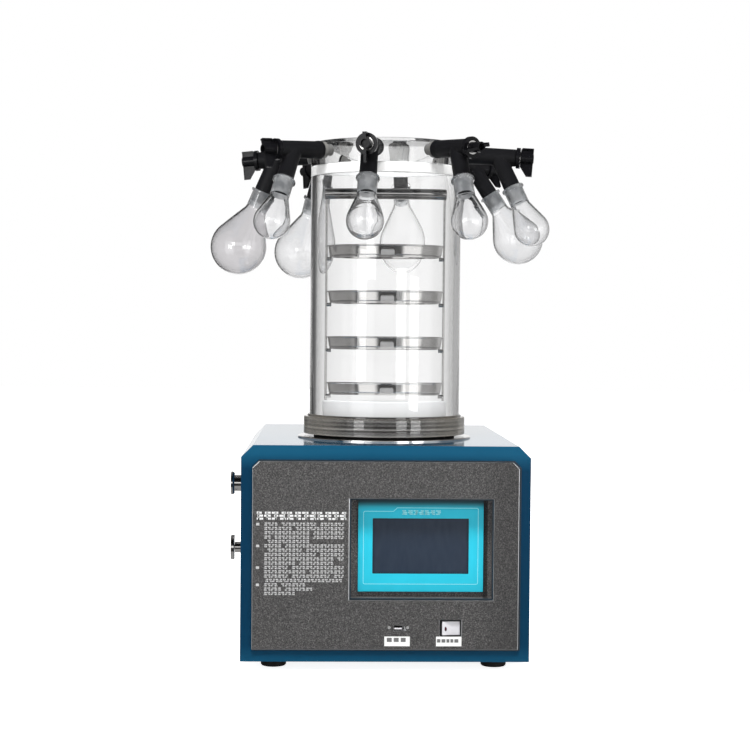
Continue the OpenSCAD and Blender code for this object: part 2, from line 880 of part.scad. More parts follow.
module rack_base() {
    wall = 1.5;
    color("gainsboro") on_deck() {
        rotate_extrude($fn = 128)
            polygon([
                [base_drum_r - 3 - wall, base_drum_z], [base_drum_r - 3, base_drum_z],
                [base_drum_r, base_drum_top], [base_hole_r, base_drum_top],
                [base_hole_r, base_drum_top - wall], [base_drum_r - wall - 0.1, base_drum_top - wall]
            ]);
        for (side = [-1, 1])
            translate([0, 0, 40])
                bar_x(side > 0 ? base_drum_r - 2 : -114, side > 0 ? 114 : -base_drum_r + 2, 2.5);
    }
}

function tray_level(i) = tray_z + tray_pitch * (i - 1);

module rack_frame() {
    color(STEEL) on_deck() {
        for (side = [-1, 1]) {
            translate([side * rod_x, 0, base_drum_top])
                cylinder(r = rod_r, h = handle_z - base_drum_top);
            for (i = [1 : tray_count])
                translate([0, 0, tray_level(i) - hoop_t - peg_r + hoop_bite])
                    bar_x(side > 0 ? rod_x - peg_len : -rod_x,
                        side > 0 ? rod_x : -rod_x + peg_len, peg_r);
        }
        for (i = [1 : tray_count])
            ring(tray_d / 2 - tray_slope - 0.2, tray_d / 2 - tray_slope - hoop_w,
                tray_level(i) - hoop_t, tray_level(i) - 0.05);
        translate([0, 0, handle_z]) bar_x(-rod_x - 2.5, rod_x + 2.5, handle_r);
    }
}

module tray(i) {
    top_r = tray_d / 2;
    floor_r = top_r - tray_slope;
    color(STEEL) on_deck() translate([0, 0, tray_level(i)]) {
        rotate_extrude($fn = 128)
            polygon([
                [0, 0], [floor_r, 0], [top_r - rim_r, tray_h - 2 * rim_r], [top_r, tray_h - rim_r],
                [top_r - rim_r, tray_h], [top_r - 2 * rim_r, tray_h - rim_r],
                [floor_r - tray_wall, tray_wall], [0, tray_wall]
            ]);
        translate([-tab_w / 2, -floor_r - 4, 0]) cube([tab_w, 5, 1.2]);
        translate([-tab_w / 2, -floor_r - 4, 0]) cube([tab_w, 1, tab_h - 2]);
        translate([-tab_w / 2 + 2, -floor_r - 4, 0]) cube([tab_w - 4, 1, tab_h]);
        for (side = [-1, 1])
            translate([side * (tab_w / 2 - 2), -floor_r - 4, tab_h - 2])
                bar_y(0, 1, 2);
    }
}

module tray_1() { tray(1); }
module tray_2() { tray(2); }
module tray_3() { tray(3); }
module tray_4() { tray(4); }

// ---- Lid ----

module lid_seal() {
    color("whitesmoke") on_deck()
        ring(chamber_r, tube_inner_r, tube_top, drum_z);
}

module lid_drum() {
    inner_r = chamber_r - drum_wall;
    color(CLEAR) difference() {
        on_deck() difference() {
            ring(chamber_r, inner_r, drum_z, drum_z + drum_h);
            translate([0, 0, drum_z + drum_h - lid_t])
                cylinder(r = inner_r + 4, h = lid_t + 1, $fn = 128);
        }
        for (k = [0 : valve_count - 1])
            at_station(k) bar_x(chamber_r - drum_wall - 8, chamber_r + 6, stub_r + 0.2);
    }
}

module lid_plate() {
    color(CLEAR) on_deck() translate([0, 0, drum_z + drum_h - lid_t])
        cylinder(r = chamber_r - drum_wall + 3.9, h = lid_t, $fn = 128);
}

module port_stubs() {
    color([0.75, 0.77, 0.78])
        for (k = [0 : valve_count - 1])
            at_station(k) difference() {
                union() {
                    bar_x(stub_start, stub_end, stub_r);
                    bar_x(chamber_r + 2, barrel_start - 0.1, stub_collar_r);
                }
                bar_x(stub_start - 1, stub_end + 1, passage_r);
            }
}

// ---- Valves ----

module valve_body(k) {
    lip = branch_len - 0.2;
    cone_end_r = joint_top_r - (joint_top_r - joint_end_r) * cone_len / joint_len;
    at_station(k) difference() {
        union() {
            bar_x(barrel_start, barrel_end, barrel_d / 2);
            bar_x(barrel_start, barrel_start + 5, barrel_d / 2 + 1);
            down_branch() {
                translate([0, 0, -lip]) cylinder(d = branch_d, h = lip);
                translate([0, 0, -branch_len - cone_len])
                    cylinder(r1 = cone_end_r - joint_gap, r2 = joint_top_r - joint_gap,
                        h = cone_len + 1);
            }
        }
        bar_x(plug_start, barrel_end + 1, plug_r);
        bar_x(stub_end - 1, plug_start + 1, passage_r);
        bar_x(barrel_start - 1, stub_end + 1, stub_r + 0.1);
        down_branch() translate([0, 0, -branch_len - cone_len - 1])
            cylinder(r = passage_r + 1, h = branch_len + cone_len + 1);
    }
}

module valve_bodies() {
    color(DARK) for (k = [0 : valve_count - 1]) valve_body(k);
}

// Outline of a wing in the plane of the barrel: along the barrel, then away from it
module wing_outline(reach, tip, inset) {
    near = barrel_end + collar_len + 1 + inset;
    far = barrel_end + collar_len + knob_len - inset;
    polygon([
        [near, 0], [far, 0], [far, reach - inset],
        [max(near, far - tip + 2 * inset), reach - inset], [near, wing_shoulder - inset]
    ]);
}

module wing(reach, tip) {
    rotate([90, 0, 0]) difference() {
        translate([0, 0, -wing_rim_t / 2])
            linear_extrude(wing_rim_t) wing_outline(reach, tip, 0);
        for (z = [-wing_rim_t, wing_web / 2])
            translate([0, 0, z])
                linear_extrude(wing_rim_t - wing_web / 2) wing_outline(reach, tip, wing_rim);
    }
}

module valve_knob(k) {
    knob_start = barrel_end + 0.4;
    hub_start = barrel_end + collar_len;
    knob_end = hub_start + knob_len;
    cap_start = knob_end - wing_cap_len;
    color(DARK) at_station(k) rotate([knob_turn[k], 0, 0]) difference() {
        union() {
            bar_x(plug_start + 0.5, knob_start + 1, plug_r - plug_fit);
            bar_x(knob_start, hub_start, collar_d / 2);
            bar_x(hub_start - 1, knob_end, hub_d / 2);
            bar_x(knob_end - 1, knob_end + 0.6, hub_hole_r + 1.7);
            wing(wing_short, wing_cap_len);
            mirror([0, 0, 1]) wing(wing_long, wing_tip);
            translate([cap_start, -wing_cap_w / 2, wing_short - wing_cap_t])
                cube([wing_cap_len, wing_cap_w, wing_cap_t]);
        }
        bar_x(knob_end - 7, knob_end + 2, hub_hole_r);
        bar_x(plug_start, branch_x + passage_r, passage_r);
        down_branch() translate([0, 0, -plug_r - 6])
            cylinder(r = passage_r, h = plug_r + 6);
    }
}

module valve_knob_1() { valve_knob(0); }
module valve_knob_2() { valve_knob(1); }
module valve_knob_3() { valve_knob(2); }
module valve_knob_4() { valve_knob(3); }
module valve_knob_5() { valve_knob(4); }
module valve_knob_6() { valve_knob(5); }
module valve_knob_7() { valve_knob(6); }
module valve_knob_8() { valve_knob(7); }

// ---- Flasks ----

// A bulb's outline from its bottom up to where the straight shoulder leaves it
function shoulder_angle(r, centre, neck, neck_z) =
    let (rise = centre - neck_z)
    atan2(rise, neck) - acos(r / norm([neck, rise]));
function bulb_arc(r, centre, end_angle) = [
    for (i = [0 : arc_steps])
        let (a = -90 + (end_angle + 90) * i / arc_steps)
        [max(0, r * cos(a)), -centre + r * sin(a)]
];

module flask_profile(bulb_r, length) {
    centre = length - bulb_r;
    inner_neck = neck_r - glass;
    outer_end = shoulder_angle(bulb_r, centre, neck_r, neck_len);
    inner_end = shoulder_angle(bulb_r - glass, centre, inner_neck, neck_len);
    inner_arc = bulb_arc(bulb_r - glass, centre, inner_end);
    outer = concat(
        bulb_arc(bulb_r, centre, outer_end),
        [[neck_r, -neck_len], [neck_r, -lip_t - 2], [lip_r, -lip_t], [lip_r, 0]]
    );
    inner = concat(
        [[joint_top_r, 0], [joint_end_r, -joint_len], [inner_neck, -neck_len]],
        [for (i = [len(inner_arc) - 1 : -1 : 0]) inner_arc[i]]
    );
    polygon(concat(outer, inner));
}

module flask(k) {
    size = flask_size[k];
    color(CLEAR) at_station(k) down_branch() translate([0, 0, -branch_len])
        rotate_extrude($fn = 96) flask_profile(flask_bulb_d[size] / 2, flask_len[size]);
}

module flask_1() { flask(0); }
module flask_2() { flask(1); }
module flask_3() { flask(2); }
module flask_4() { flask(3); }
module flask_5() { flask(4); }
module flask_6() { flask(5); }
module flask_7() { flask(6); }
module flask_8() { flask(7); }

cabinet_shell();
base_pan();
rear_panel();
front_panel();
screen_recess();
screen_bezel();
screen_display();
screen_housing();
usb_socket();
usb_screws();
switch_housing();
rocker();
label_plates();
feet();
foot_screws();
vacuum_port();
drain_valve();
drain_knob();
deck_ring();
cold_trap();
trap_coil();
trap_foam();
compressor();
condenser();
fan_frame();
fan_rotor();
cooling_pipes();
controller_board();
power_inlet();
chamber_gasket();
chamber_flange();
chamber_tube();
rack_base();
rack_frame();
tray_1();
tray_2();
tray_3();
tray_4();
lid_seal();
lid_drum();
lid_plate();
port_stubs();
valve_bodies();
valve_knob_1();
valve_knob_2();
valve_knob_3();
valve_knob_4();
valve_knob_5();
valve_knob_6();
valve_knob_7();
valve_knob_8();
flask_1();
flask_2();
flask_3();
flask_4();
flask_5();
flask_6();
flask_7();
flask_8();
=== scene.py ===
"""Looks for a bench-top freeze dryer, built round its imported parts. Metres, Z up, front towards -Y."""
import json
import math

import bmesh
import bpy
from mathutils import Matrix, Vector
from mathutils.bvhtree import BVHTree


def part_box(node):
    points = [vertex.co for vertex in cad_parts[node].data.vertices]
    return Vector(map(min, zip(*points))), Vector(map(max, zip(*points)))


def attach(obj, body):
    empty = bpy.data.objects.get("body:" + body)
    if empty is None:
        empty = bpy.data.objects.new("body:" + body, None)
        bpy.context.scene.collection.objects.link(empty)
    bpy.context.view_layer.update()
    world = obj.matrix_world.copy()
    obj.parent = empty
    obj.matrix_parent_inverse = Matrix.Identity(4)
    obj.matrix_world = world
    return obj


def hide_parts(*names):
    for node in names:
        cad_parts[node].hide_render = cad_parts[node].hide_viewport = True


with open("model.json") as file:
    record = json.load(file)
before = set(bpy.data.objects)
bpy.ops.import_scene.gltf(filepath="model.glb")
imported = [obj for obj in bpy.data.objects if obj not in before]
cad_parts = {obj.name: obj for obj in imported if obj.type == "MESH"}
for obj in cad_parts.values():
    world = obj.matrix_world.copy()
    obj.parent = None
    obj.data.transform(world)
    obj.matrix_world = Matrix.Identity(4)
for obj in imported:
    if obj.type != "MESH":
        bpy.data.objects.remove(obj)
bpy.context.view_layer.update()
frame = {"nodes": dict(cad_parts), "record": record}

MM = 0.001
record = frame["record"]
hollows = {o["name"]: [Vector(p) for p in o["box_m"]] for o in record["physics"]["openings"]}
joints = {j["name"]: j for j in record["behaviour"]["joints"]}


# ---- Where the pieces are ----

def low(node):
    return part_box(node)[0]


def high(node):
    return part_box(node)[1]


def middle(node):
    lowest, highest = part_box(node)
    return (lowest + highest) / 2


cabinet_low, cabinet_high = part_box("cabinet_shell")
panel_low, panel_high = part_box("front_panel")
axis_x, axis_y = middle("chamber_tube").x, middle("chamber_tube").y
deck_z = low("deck_ring").z
valve_count = sum(node.startswith("flask_") for node in frame["nodes"])


# ---- Camera ----

def make_camera():
    """Stands in front of the cabinet, a little to its left and above its top, looking almost level."""
    left_of_middle, in_front, above_underside = 104 * MM, 2680 * MM, 530 * MM
    data = bpy.data.cameras.new("camera")
    data.lens = 81.4
    data.sensor_width = 36
    yaw, pitch, roll = math.radians(1.81), math.radians(-1.58), math.radians(0.48)
    forward = Vector((math.sin(yaw) * math.cos(pitch), math.cos(yaw) * math.cos(pitch), math.sin(pitch)))
    level = forward.cross(Vector((0, 0, 1))).normalized()
    upright = level.cross(forward)
    right = level * math.cos(roll) + upright * math.sin(roll)
    up = upright * math.cos(roll) - level * math.sin(roll)
    centre_x = (cabinet_low.x + cabinet_high.x) / 2
    place = Vector((centre_x - left_of_middle, cabinet_low.y - in_front, cabinet_low.z + above_underside))
    turn = Matrix((right, up, -forward)).transposed().to_4x4()
    camera = bpy.data.objects.new("camera", data)
    camera.matrix_world = Matrix.Translation(place) @ turn
    bpy.context.scene.collection.objects.link(camera)
    bpy.context.scene.camera = camera


make_camera()
bpy.context.scene.view_settings.view_transform = "Standard"


# ---- Shader arithmetic ----

class Field:
    """One output of a shader node. Arithmetic on it adds Math nodes."""

    def __init__(self, finish, socket):
        self.finish = finish
        self.socket = socket

    def maths(self, operation, first, second):
        return self.finish.node("ShaderNodeMath", {"operation": operation}, {0: first, 1: second})

    def __add__(self, other):
        return self.maths("ADD", self, other)

    def __radd__(self, other):
        return self.maths("ADD", other, self)

    def __sub__(self, other):
        return self.maths("SUBTRACT", self, other)

    def __rsub__(self, other):
        return self.maths("SUBTRACT", other, self)

    def __mul__(self, other):
        return self.maths("MULTIPLY", self, other)

    def __truediv__(self, other):
        return self.maths("DIVIDE", self, other)

    def __pow__(self, other):
        return self.maths("POWER", self, other)

    def __gt__(self, other):
        return self.maths("GREATER_THAN", self, other)

    def __lt__(self, other):
        return self.maths("LESS_THAN", self, other)

    def larger(self, other):
        return self.maths("MAXIMUM", self, other)


class Finish:
    """A material or world being built. node() makes every node."""

    def __init__(self, owner):
        owner.use_nodes = True
        self.owner = owner
        self.tree = owner.node_tree
        self.tree.nodes.clear()

    def node(self, kind, settings=None, values=None, output=0):
        made = self.tree.nodes.new(kind)
        for name, value in (settings or {}).items():
            if name == "stops":
                self.fill_ramp(made.color_ramp, value)
            else:
                setattr(made, name, value)
        for name, value in (values or {}).items():
            if isinstance(value, Field):
                self.tree.links.new(value.socket, made.inputs[name])
            else:
                made.inputs[name].default_value = value
        return Field(self, made.outputs[output])

    def fill_ramp(self, ramp, stops):
        while len(ramp.elements) < len(stops):
            ramp.elements.new(0.5)
        for element, (position, value) in zip(ramp.elements, stops):
            element.position = position
            element.color = (value, value, value, 1) if isinstance(value, (int, float)) else (*value, 1)

    def own_place(self):
        return self.node("ShaderNodeTexCoord", output="Object")

    def axis(self, place, name):
        return self.node("ShaderNodeSeparateXYZ", {}, {"Vector": place}, name)

    def stretched(self, place, scale):
        return self.node("ShaderNodeVectorMath", {"operation": "MULTIPLY"}, {0: place, 1: scale})

    def noise(self, scale, detail, place=None, roughness=0.5):
        values = {"Scale": scale, "Detail": detail, "Roughness": roughness}
        values["Vector"] = place or self.own_place()
        return self.node("ShaderNodeTexNoise", {}, values, "Fac")

    def cells(self, scale):
        values = {"Vector": self.own_place(), "Scale": scale}
        return self.node("ShaderNodeTexVoronoi", {"feature": "SMOOTH_F1"}, values, "Distance")

    def ramp(self, value, stops):
        return self.node("ShaderNodeValToRGB", {"stops": stops}, {"Fac": value}, "Color")

    def blend(self, factor, first, second):
        values = {0: factor, 6: self.colour(first), 7: self.colour(second)}
        return self.node("ShaderNodeMix", {"data_type": "RGBA"}, values, 2)

    def colour(self, value):
        return value if isinstance(value, Field) else (*value[:3], 1)

    def bump(self, height, distance, strength):
        values = {"Height": height, "Distance": distance, "Strength": strength}
        return self.node("ShaderNodeBump", {}, values)

    def edge_on(self):
        """1 where the surface is seen edge-on, 0 where it faces the eye."""
        return self.node("ShaderNodeLayerWeight", {}, {"Blend": 0.5}, "Facing")

    def principled(self, base, **values):
        named = {name.replace("_", " ").title(): value for name, value in values.items()}
        for short, full in (("Ior", "IOR"), ("Specular", "Specular IOR Level")):
            if short in named:
                named[full] = named.pop(short)
        named["Base Color"] = self.colour(base)
        return self.node("ShaderNodeBsdfPrincipled", {}, named)

    def ray(self, kind):
        return self.node("ShaderNodeLightPath", output=kind)

    def see_through_for_lamps(self, shader, tint):
        """Glass that lets lamps shine into what it holds."""
        clear = self.node("ShaderNodeBsdfTransparent", {}, {"Color": (*tint, 1)})
        return self.node("ShaderNodeMixShader", {}, {0: self.ray("Is Shadow Ray"), 1: shader, 2: clear})

    def done(self, shader, kind="ShaderNodeOutputMaterial"):
        output = self.tree.nodes.new(kind)
        self.tree.links.new(shader.socket, output.inputs["Surface"])
        return self.owner


def new_finish(name):
    return Finish(bpy.data.materials.new(name))


# ---- Finishes ----

def blue_enamel(name, gloss):
    """Sprayed blue enamel: a slow drift of tone, a fine peel, and painted light, paler near the underside and
    along the top edge.
    """
    f = new_finish(name)
    clouds = f.noise(7, 3)
    peel = f.noise(900, 1)
    height = (f.axis(f.own_place(), "Z") - cabinet_low.z) / (deck_z - cabinet_low.z)
    # Painted light: the enamel is paler near the underside and along the top edge.
    painted_edge_light = f.ramp(height + clouds * 0.02, [
        (0.0, 0.7), (0.04, 0.4), (0.08, 0.1), (0.3, 0.0), (0.90, 0.0), (0.975, 1.0)])
    base = f.blend(clouds, (0.0007, 0.031, 0.074), (0.0010, 0.036, 0.084))
    # The paler blue of the painted light.
    base = f.blend(painted_edge_light, base, (0.0065, 0.088, 0.172))
    shader = f.principled(
        base, roughness=clouds * 0.1 + (1 - gloss), specular=0.06, coat_weight=1.0, coat_roughness=0.08,
        normal=f.bump(peel, 0.00001, 0.2))
    return f.done(shader)


def hammered_grey(name, tone, shade_of):
    """Grey paint with a hammered grain. shade_of gives how far it lies in shade, from its place."""
    f = new_finish(name)
    grain = f.noise(620, 3, roughness=0.62)
    pits = f.cells(500)
    drift = f.noise(12, 2)
    speckle = (grain * 1.7 - 0.35) * 0.75 + pits * 0.25
    stops = [(0.22, (0.018, 0.018, 0.019)), (0.5, (0.07, 0.068, 0.068)), (0.8, (0.21, 0.205, 0.2))]
    base = f.ramp(speckle, [(stop, tuple(tone * channel for channel in colour)) for stop, colour in stops])
    base = f.blend(drift * 0.35, base, (0.06 * tone, 0.058 * tone, 0.057 * tone))
    base = f.blend(shade_of(f, drift), base, (0.012, 0.012, 0.013))
    shader = f.principled(
        base, roughness=0.42 + grain * 0.2, metallic=0.1, specular=0.25,
        normal=f.bump(pits + grain, 0.0004, 0.55))
    return f.done(shader)


def panel_shade(f, drift):
    """The panel grows a little darker towards its right side."""
    across = (f.axis(f.own_place(), "X") - panel_low.x) / (panel_high.x - panel_low.x)
    return f.ramp(across + drift * 0.05, [(0.84, 0.0), (0.97, 0.32)])


def opening_shade(f, drift):
    """The opening's floor is darkest beside the right edge of the film."""
    beside = (f.axis(f.own_place(), "X") - high("screen_bezel").x) / (20 * MM)
    return f.ramp(beside + drift * 0.05, [(0.0, 0.0), (0.03, 0.75), (0.36, 0.75), (0.42, 0.0)])


def moulded(name, base, roughness, grain=1600, depth=0.00003, lift=1.25, specular=0.5, coat=0.0):
    """Moulded plastic or rubber: a fine grain, and slow changes of tone and gloss."""
    f = new_finish(name)
    slow = f.noise(30, 3)
    fine = f.noise(grain, 2)
    lighter = tuple(min(1.0, channel * lift + 0.002) for channel in base)
    shader = f.principled(
        f.blend(slow, base, lighter), roughness=roughness - 0.06 + slow * 0.12, specular=specular,
        coat_weight=coat, coat_roughness=0.1, normal=f.bump(fine, depth, 0.6))
    return f.done(shader)


def metal(name, base, roughness, stretch, depth=0.00002, dark=0.8):
    """Turned or polished steel: fine lines along one direction, and faint smears."""
    f = new_finish(name)
    lines = f.noise(1.0, 3, f.stretched(f.own_place(), stretch))
    smears = f.noise(25, 4)
    darker = tuple(channel * dark for channel in base)
    shader = f.principled(
        f.blend(smears * 0.5 + lines * 0.3, base, darker), metallic=1.0,
        roughness=roughness + smears * 0.08 + lines * 0.05, normal=f.bump(lines, depth, 0.5))
    return f.done(shader)


def clear_glass(name, face, edge, ior, power, coat=0.0):
    """Glass or acrylic whose edges look darker, because there the eye looks along the wall."""
    f = new_finish(name)
    edge_on = f.edge_on() ** power
    ripple = f.noise(9, 2)
    shader = f.principled(
        f.blend(edge_on, face, edge), roughness=ripple * 0.01, ior=ior, transmission_weight=1.0,
        coat_weight=coat, coat_roughness=0.06, normal=f.bump(ripple, 0.0006, 0.25))
    return f.done(f.see_through_for_lamps(shader, (0.93, 0.94, 0.95)))


def ground_glass():
    """Frosted inside of the neck. The grinding is uneven, and paler where the cone doesn't touch it."""
    f = new_finish("ground_glass")
    grain = f.noise(2600, 2)
    worn = f.ramp(f.noise(70, 3), [(0.40, 0.0), (0.62, 1.0)])
    base = f.blend(worn, (0.36, 0.375, 0.39), (0.66, 0.67, 0.68))
    shader = f.principled(
        base, roughness=0.35 + grain * 0.2, transmission_weight=0.7, ior=1.47,
        normal=f.bump(grain, 0.00005, 0.8))
    return f.done(f.see_through_for_lamps(shader, (0.6, 0.6, 0.6)))


def smoky_acrylic():
    """Thick tinted acrylic: dark and pale bands one over the other, and paler towards its sides."""
    f = new_finish("smoky_acrylic")
    height = f.axis(f.own_place(), "Z") - deck_z
    drift = f.noise(14, 2) * 0.0016
    bands = f.ramp((height + drift) / (40 * MM), [
        (0.20, 0.75), (0.25, 0.50), (0.29, 0.28), (0.35, 0.38), (0.43, 0.04), (0.49, 0.75), (0.57, 0.06),
        (0.60, 0.06), (0.67, 0.38), (0.75, 0.06), (0.83, 0.42), (0.89, 0.22), (0.92, 0.08), (0.97, 0.03)])
    sides = f.ramp(f.edge_on(), [(0.08, 0.0), (0.40, 1.0)])
    base = f.blend(bands, (0.014, 0.013, 0.012), (0.66, 0.64, 0.62))
    pale = f.blend(bands, (0.36, 0.33, 0.29), (1.0, 0.95, 0.86))
    shader = f.principled(
        f.blend(sides, base, pale), roughness=0.04 + bands * 0.04, transmission_weight=0.75, ior=1.49,
        normal=f.bump(bands, 0.0002, 0.3))
    return f.done(f.see_through_for_lamps(shader, (0.6, 0.57, 0.52)))


def cyan_film():
    """The printed film round the display, with a painted shadow under the opening's upper edge."""
    f = new_finish("cyan_film")
    slow = f.noise(30, 3)
    fine = f.noise(1600, 2)
    below_edge = (high("screen_bezel").z - f.axis(f.own_place(), "Z")) / (20 * MM)
    # Painted shadow: the film is darkened below the opening's upper edge.
    shade = f.ramp(below_edge, [(0.0, 0.04), (0.2, 0.09), (0.4, 0.33), (0.6, 0.74), (0.85, 1.0)])
    base = f.blend(slow, (0.010, 0.54, 0.72), (0.013, 0.594, 0.794))
    shader = f.principled(
        f.blend(shade, (0.0, 0.004, 0.006), base), roughness=0.36 + slow * 0.12, specular=0.3,
        normal=f.bump(fine, 0.00003, 0.6))
    return f.done(shader)


def display_glass():
    """The dark display, with faint upright streaks."""
    f = new_finish("display_glass")
    streaks = f.noise(1.0, 3, f.stretched(f.own_place(), (160, 1, 40)))
    base = f.blend(streaks, (0.014, 0.026, 0.049), (0.026, 0.040, 0.066))
    shader = f.principled(
        base, roughness=0.28 + streaks * 0.1, specular=0.4, normal=f.bump(streaks, 0.00003, 0.4))
    return f.done(shader)


def white_silicone():
    """Soft white silicone with a slight shine."""
    f = new_finish("white_silicone")
    slow = f.noise(60, 3)
    shader = f.principled(
        f.blend(slow, (0.94, 0.94, 0.93), (0.98, 0.98, 0.97)), roughness=0.3 + slow * 0.15,
        normal=f.bump(slow, 0.0003, 0.3))
    return f.done(shader)


BLUE = blue_enamel("blue_enamel", 0.72)
BLUE_INSIDE = blue_enamel("blue_enamel_inside", 0.55)
HAMMERED = hammered_grey("hammered_grey_paint", 1.0, panel_shade)
# A paler copy of the hammered paint for the opening, as painted light, with painted shade beside the film's
# right edge.
HAMMERED_FLOOR_LIT_AND_SHADED = hammered_grey("hammered_grey_floor_painted_light_and_shade", 1.7, opening_shade)
CYAN = cyan_film()
CYAN_LINE = moulded("pale_cyan_print", (0.30, 0.86, 0.95), 0.45, lift=1.05)
DISPLAY = display_glass()
BLACK_PLASTIC = moulded("black_plastic", (0.012, 0.012, 0.013), 0.4)
KNOB = moulded("black_nylon", (0.0035, 0.0035, 0.0045), 0.24, grain=900, depth=0.00004, specular=0.2)
VALVE = moulded("black_rubber", (0.0055, 0.0055, 0.0065), 0.5, grain=1300, depth=0.00006, specular=0.16)
FOOT = moulded("foot_rubber", (0.004, 0.004, 0.0045), 0.6, specular=0.2)
WHITE_PLASTIC = moulded("white_rocker", (0.70, 0.69, 0.72), 0.3, lift=1.08, coat=0.3)
WHITE_PRINT = moulded("white_print", (0.72, 0.72, 0.72), 0.5, lift=1.1)
NOTE_PRINT = moulded("pale_grey_print", (0.50, 0.50, 0.50), 0.5, lift=1.1)
GREY_PRINT = moulded("grey_print", (0.13, 0.13, 0.13), 0.6)
LABEL = moulded("label_film", (0.90, 0.90, 0.89), 0.45, lift=1.06)
LAMP = moulded("dark_red_lens", (0.05, 0.004, 0.012), 0.15, coat=0.6)
STEEL = metal("polished_steel", (0.72, 0.71, 0.70), 0.06, (900, 900, 40), depth=0.00001)
TRAY_STEEL = metal("spun_steel", (0.90, 0.885, 0.87), 0.03, (20, 20, 900), depth=0.00001, dark=0.92)
BRIGHT_BAR = metal("bright_bar", (0.80, 0.79, 0.78), 0.0, (40, 900, 900), depth=0.000004)
PORT_STEEL = metal("turned_fitting_steel", (0.88, 0.865, 0.85), 0.03, (900, 40, 40), depth=0.000004, dark=0.9)
PANEL_EDGE = metal("bare_panel_edge", (0.50, 0.51, 0.52), 0.25, (200, 200, 200))
SCREW_PAINT = moulded("pale_screw_paint", (0.30, 0.30, 0.30), 0.4)
SCREW = metal("plated_steel", (0.55, 0.55, 0.55), 0.25, (300, 300, 300))
BASE_STEEL = metal("satin_steel", (0.74, 0.735, 0.73), 0.42, (20, 20, 1500))
# The steel drum under the rack is painted pale, as a painted reflection of the bright studio.
DRUM_PAINTED_REFLECTION = moulded("drum_pale_painted_reflection", (0.80, 0.795, 0.79), 0.5, lift=1.05)
# Dark rubber for the display's gasket, also laid as painted shade in the gaps round the panel and the
# opening.
GASKET_AND_GAP_SHADE = moulded("dark_gasket_and_painted_gap_shade", (0.003, 0.016, 0.030), 0.4)
ALUMINIUM = metal("fin_aluminium", (0.72, 0.73, 0.74), 0.35, (40, 40, 900))
COPPER = metal("bare_copper", (0.72, 0.33, 0.17), 0.25, (200, 200, 200), dark=0.6)
FLASK = clear_glass("flask_glass", (0.985, 0.985, 0.99), (0.08, 0.08, 0.09), 1.47, 4.5, 0.7)
# A greyer copy of the flask glass as painted shade, and a paler copy as painted light, each for a single
# flask.
FLASK_PAINTED_SHADE = clear_glass("flask_glass_painted_shade", (0.880, 0.870, 0.880), (0.06, 0.06, 0.07), 1.47, 4.5, 0.9)
FLASK_PAINTED_LIGHT = clear_glass("flask_glass_painted_light", (1.0, 1.0, 1.0), (0.80, 0.80, 0.81), 1.2, 6.0)
GROUND = ground_glass()
LID_WALL = clear_glass("lid_wall_acrylic", (0.985, 0.985, 0.985), (0.05, 0.05, 0.045), 1.49, 2.0)
LID_ACRYLIC = clear_glass("lid_acrylic", (0.99, 0.99, 0.99), (0.97, 0.97, 0.96), 1.49, 3.0)
ACRYLIC = clear_glass("clear_acrylic", (0.985, 0.985, 0.985), (0.10, 0.095, 0.09), 1.49, 3.0)
SMOKY = smoky_acrylic()
SILICONE = white_silicone()
STUB = moulded("stub_silicone", (0.15, 0.147, 0.14), 0.35, lift=1.3)
FOAM = moulded("insulation_foam", (0.62, 0.50, 0.22), 0.9, grain=300, depth=0.0008)
BOARD = moulded("circuit_board_green", (0.01, 0.10, 0.04), 0.5)


# ---- Stage ----

FLOOR_REACH = 12
PANE_DISTANCE, PANE_SIDE, PANE_POWER = 3.0, 0.75, 10


def make_world():
    """White for the eye, also through glass. In a mirror the white stands between dark cards."""
    f = Finish(bpy.data.worlds.new("studio"))
    bpy.context.scene.world = f.owner
    direction = f.node("ShaderNodeTexCoord", output="Generated")
    x, y, z = (f.axis(direction, name) for name in "XYZ")
    bearing = f.node("ShaderNodeMath", {"operation": "ARCTAN2"}, {0: x, 1: y * -1})
    round_us = bearing / (2 * math.pi) + 0.5
    upwards = z * 0.5 + 0.5
    belt = f.ramp(round_us, [
        (0.0, 1.0), (0.035, 1.0), (0.05, 0.08), (0.085, 0.08), (0.11, 0.30), (0.315, 0.26), (0.325, 0.03),
        (0.34, 0.03), (0.35, 1.0), (0.44, 1.0), (0.46, 0.03), (0.585, 0.03), (0.605, 1.0), (0.70, 1.0),
        (0.72, 0.30), (0.84, 0.30), (0.88, 0.5), (0.95, 0.5), (0.965, 1.0)])
    rise = f.ramp(upwards, [
        (0.0, 0.25), (0.22, 0.5), (0.30, 1.0), (0.60, 1.0), (0.70, 0.35), (0.85, 0.15), (1.0, 0.10)])
    table = f.ramp(upwards, [(0.0, 0.30), (0.18, 0.30), (0.24, 0.0)])
    lit_line = f.ramp(upwards, [(0.50, 0.0), (0.51, 0.9), (0.62, 0.9), (0.66, 0.0)])
    lit_line = lit_line * f.ramp(round_us, [(0.45, 0.0), (0.46, 1.0), (0.585, 1.0), (0.595, 0.0)])
    past_a_mirror = f.ray("Glossy Depth") > 0.5
    mirrored = past_a_mirror.larger(f.ray("Is Glossy Ray"))
    reflected = mirrored * (belt * rise).larger(lit_line).larger(table)
    straight_through = f.ray("Is Transmission Ray") * (1 - past_a_mirror)
    white = f.ray("Is Camera Ray").larger(straight_through)
    grey = f.ray("Is Diffuse Ray") * 0.3
    colour = f.blend(white.larger(reflected).larger(grey), (0, 0, 0), (1, 1, 1))
    shader = f.node("ShaderNodeBackground", {}, {"Color": colour, "Strength": 1.0})
    f.done(shader, "ShaderNodeOutputWorld")


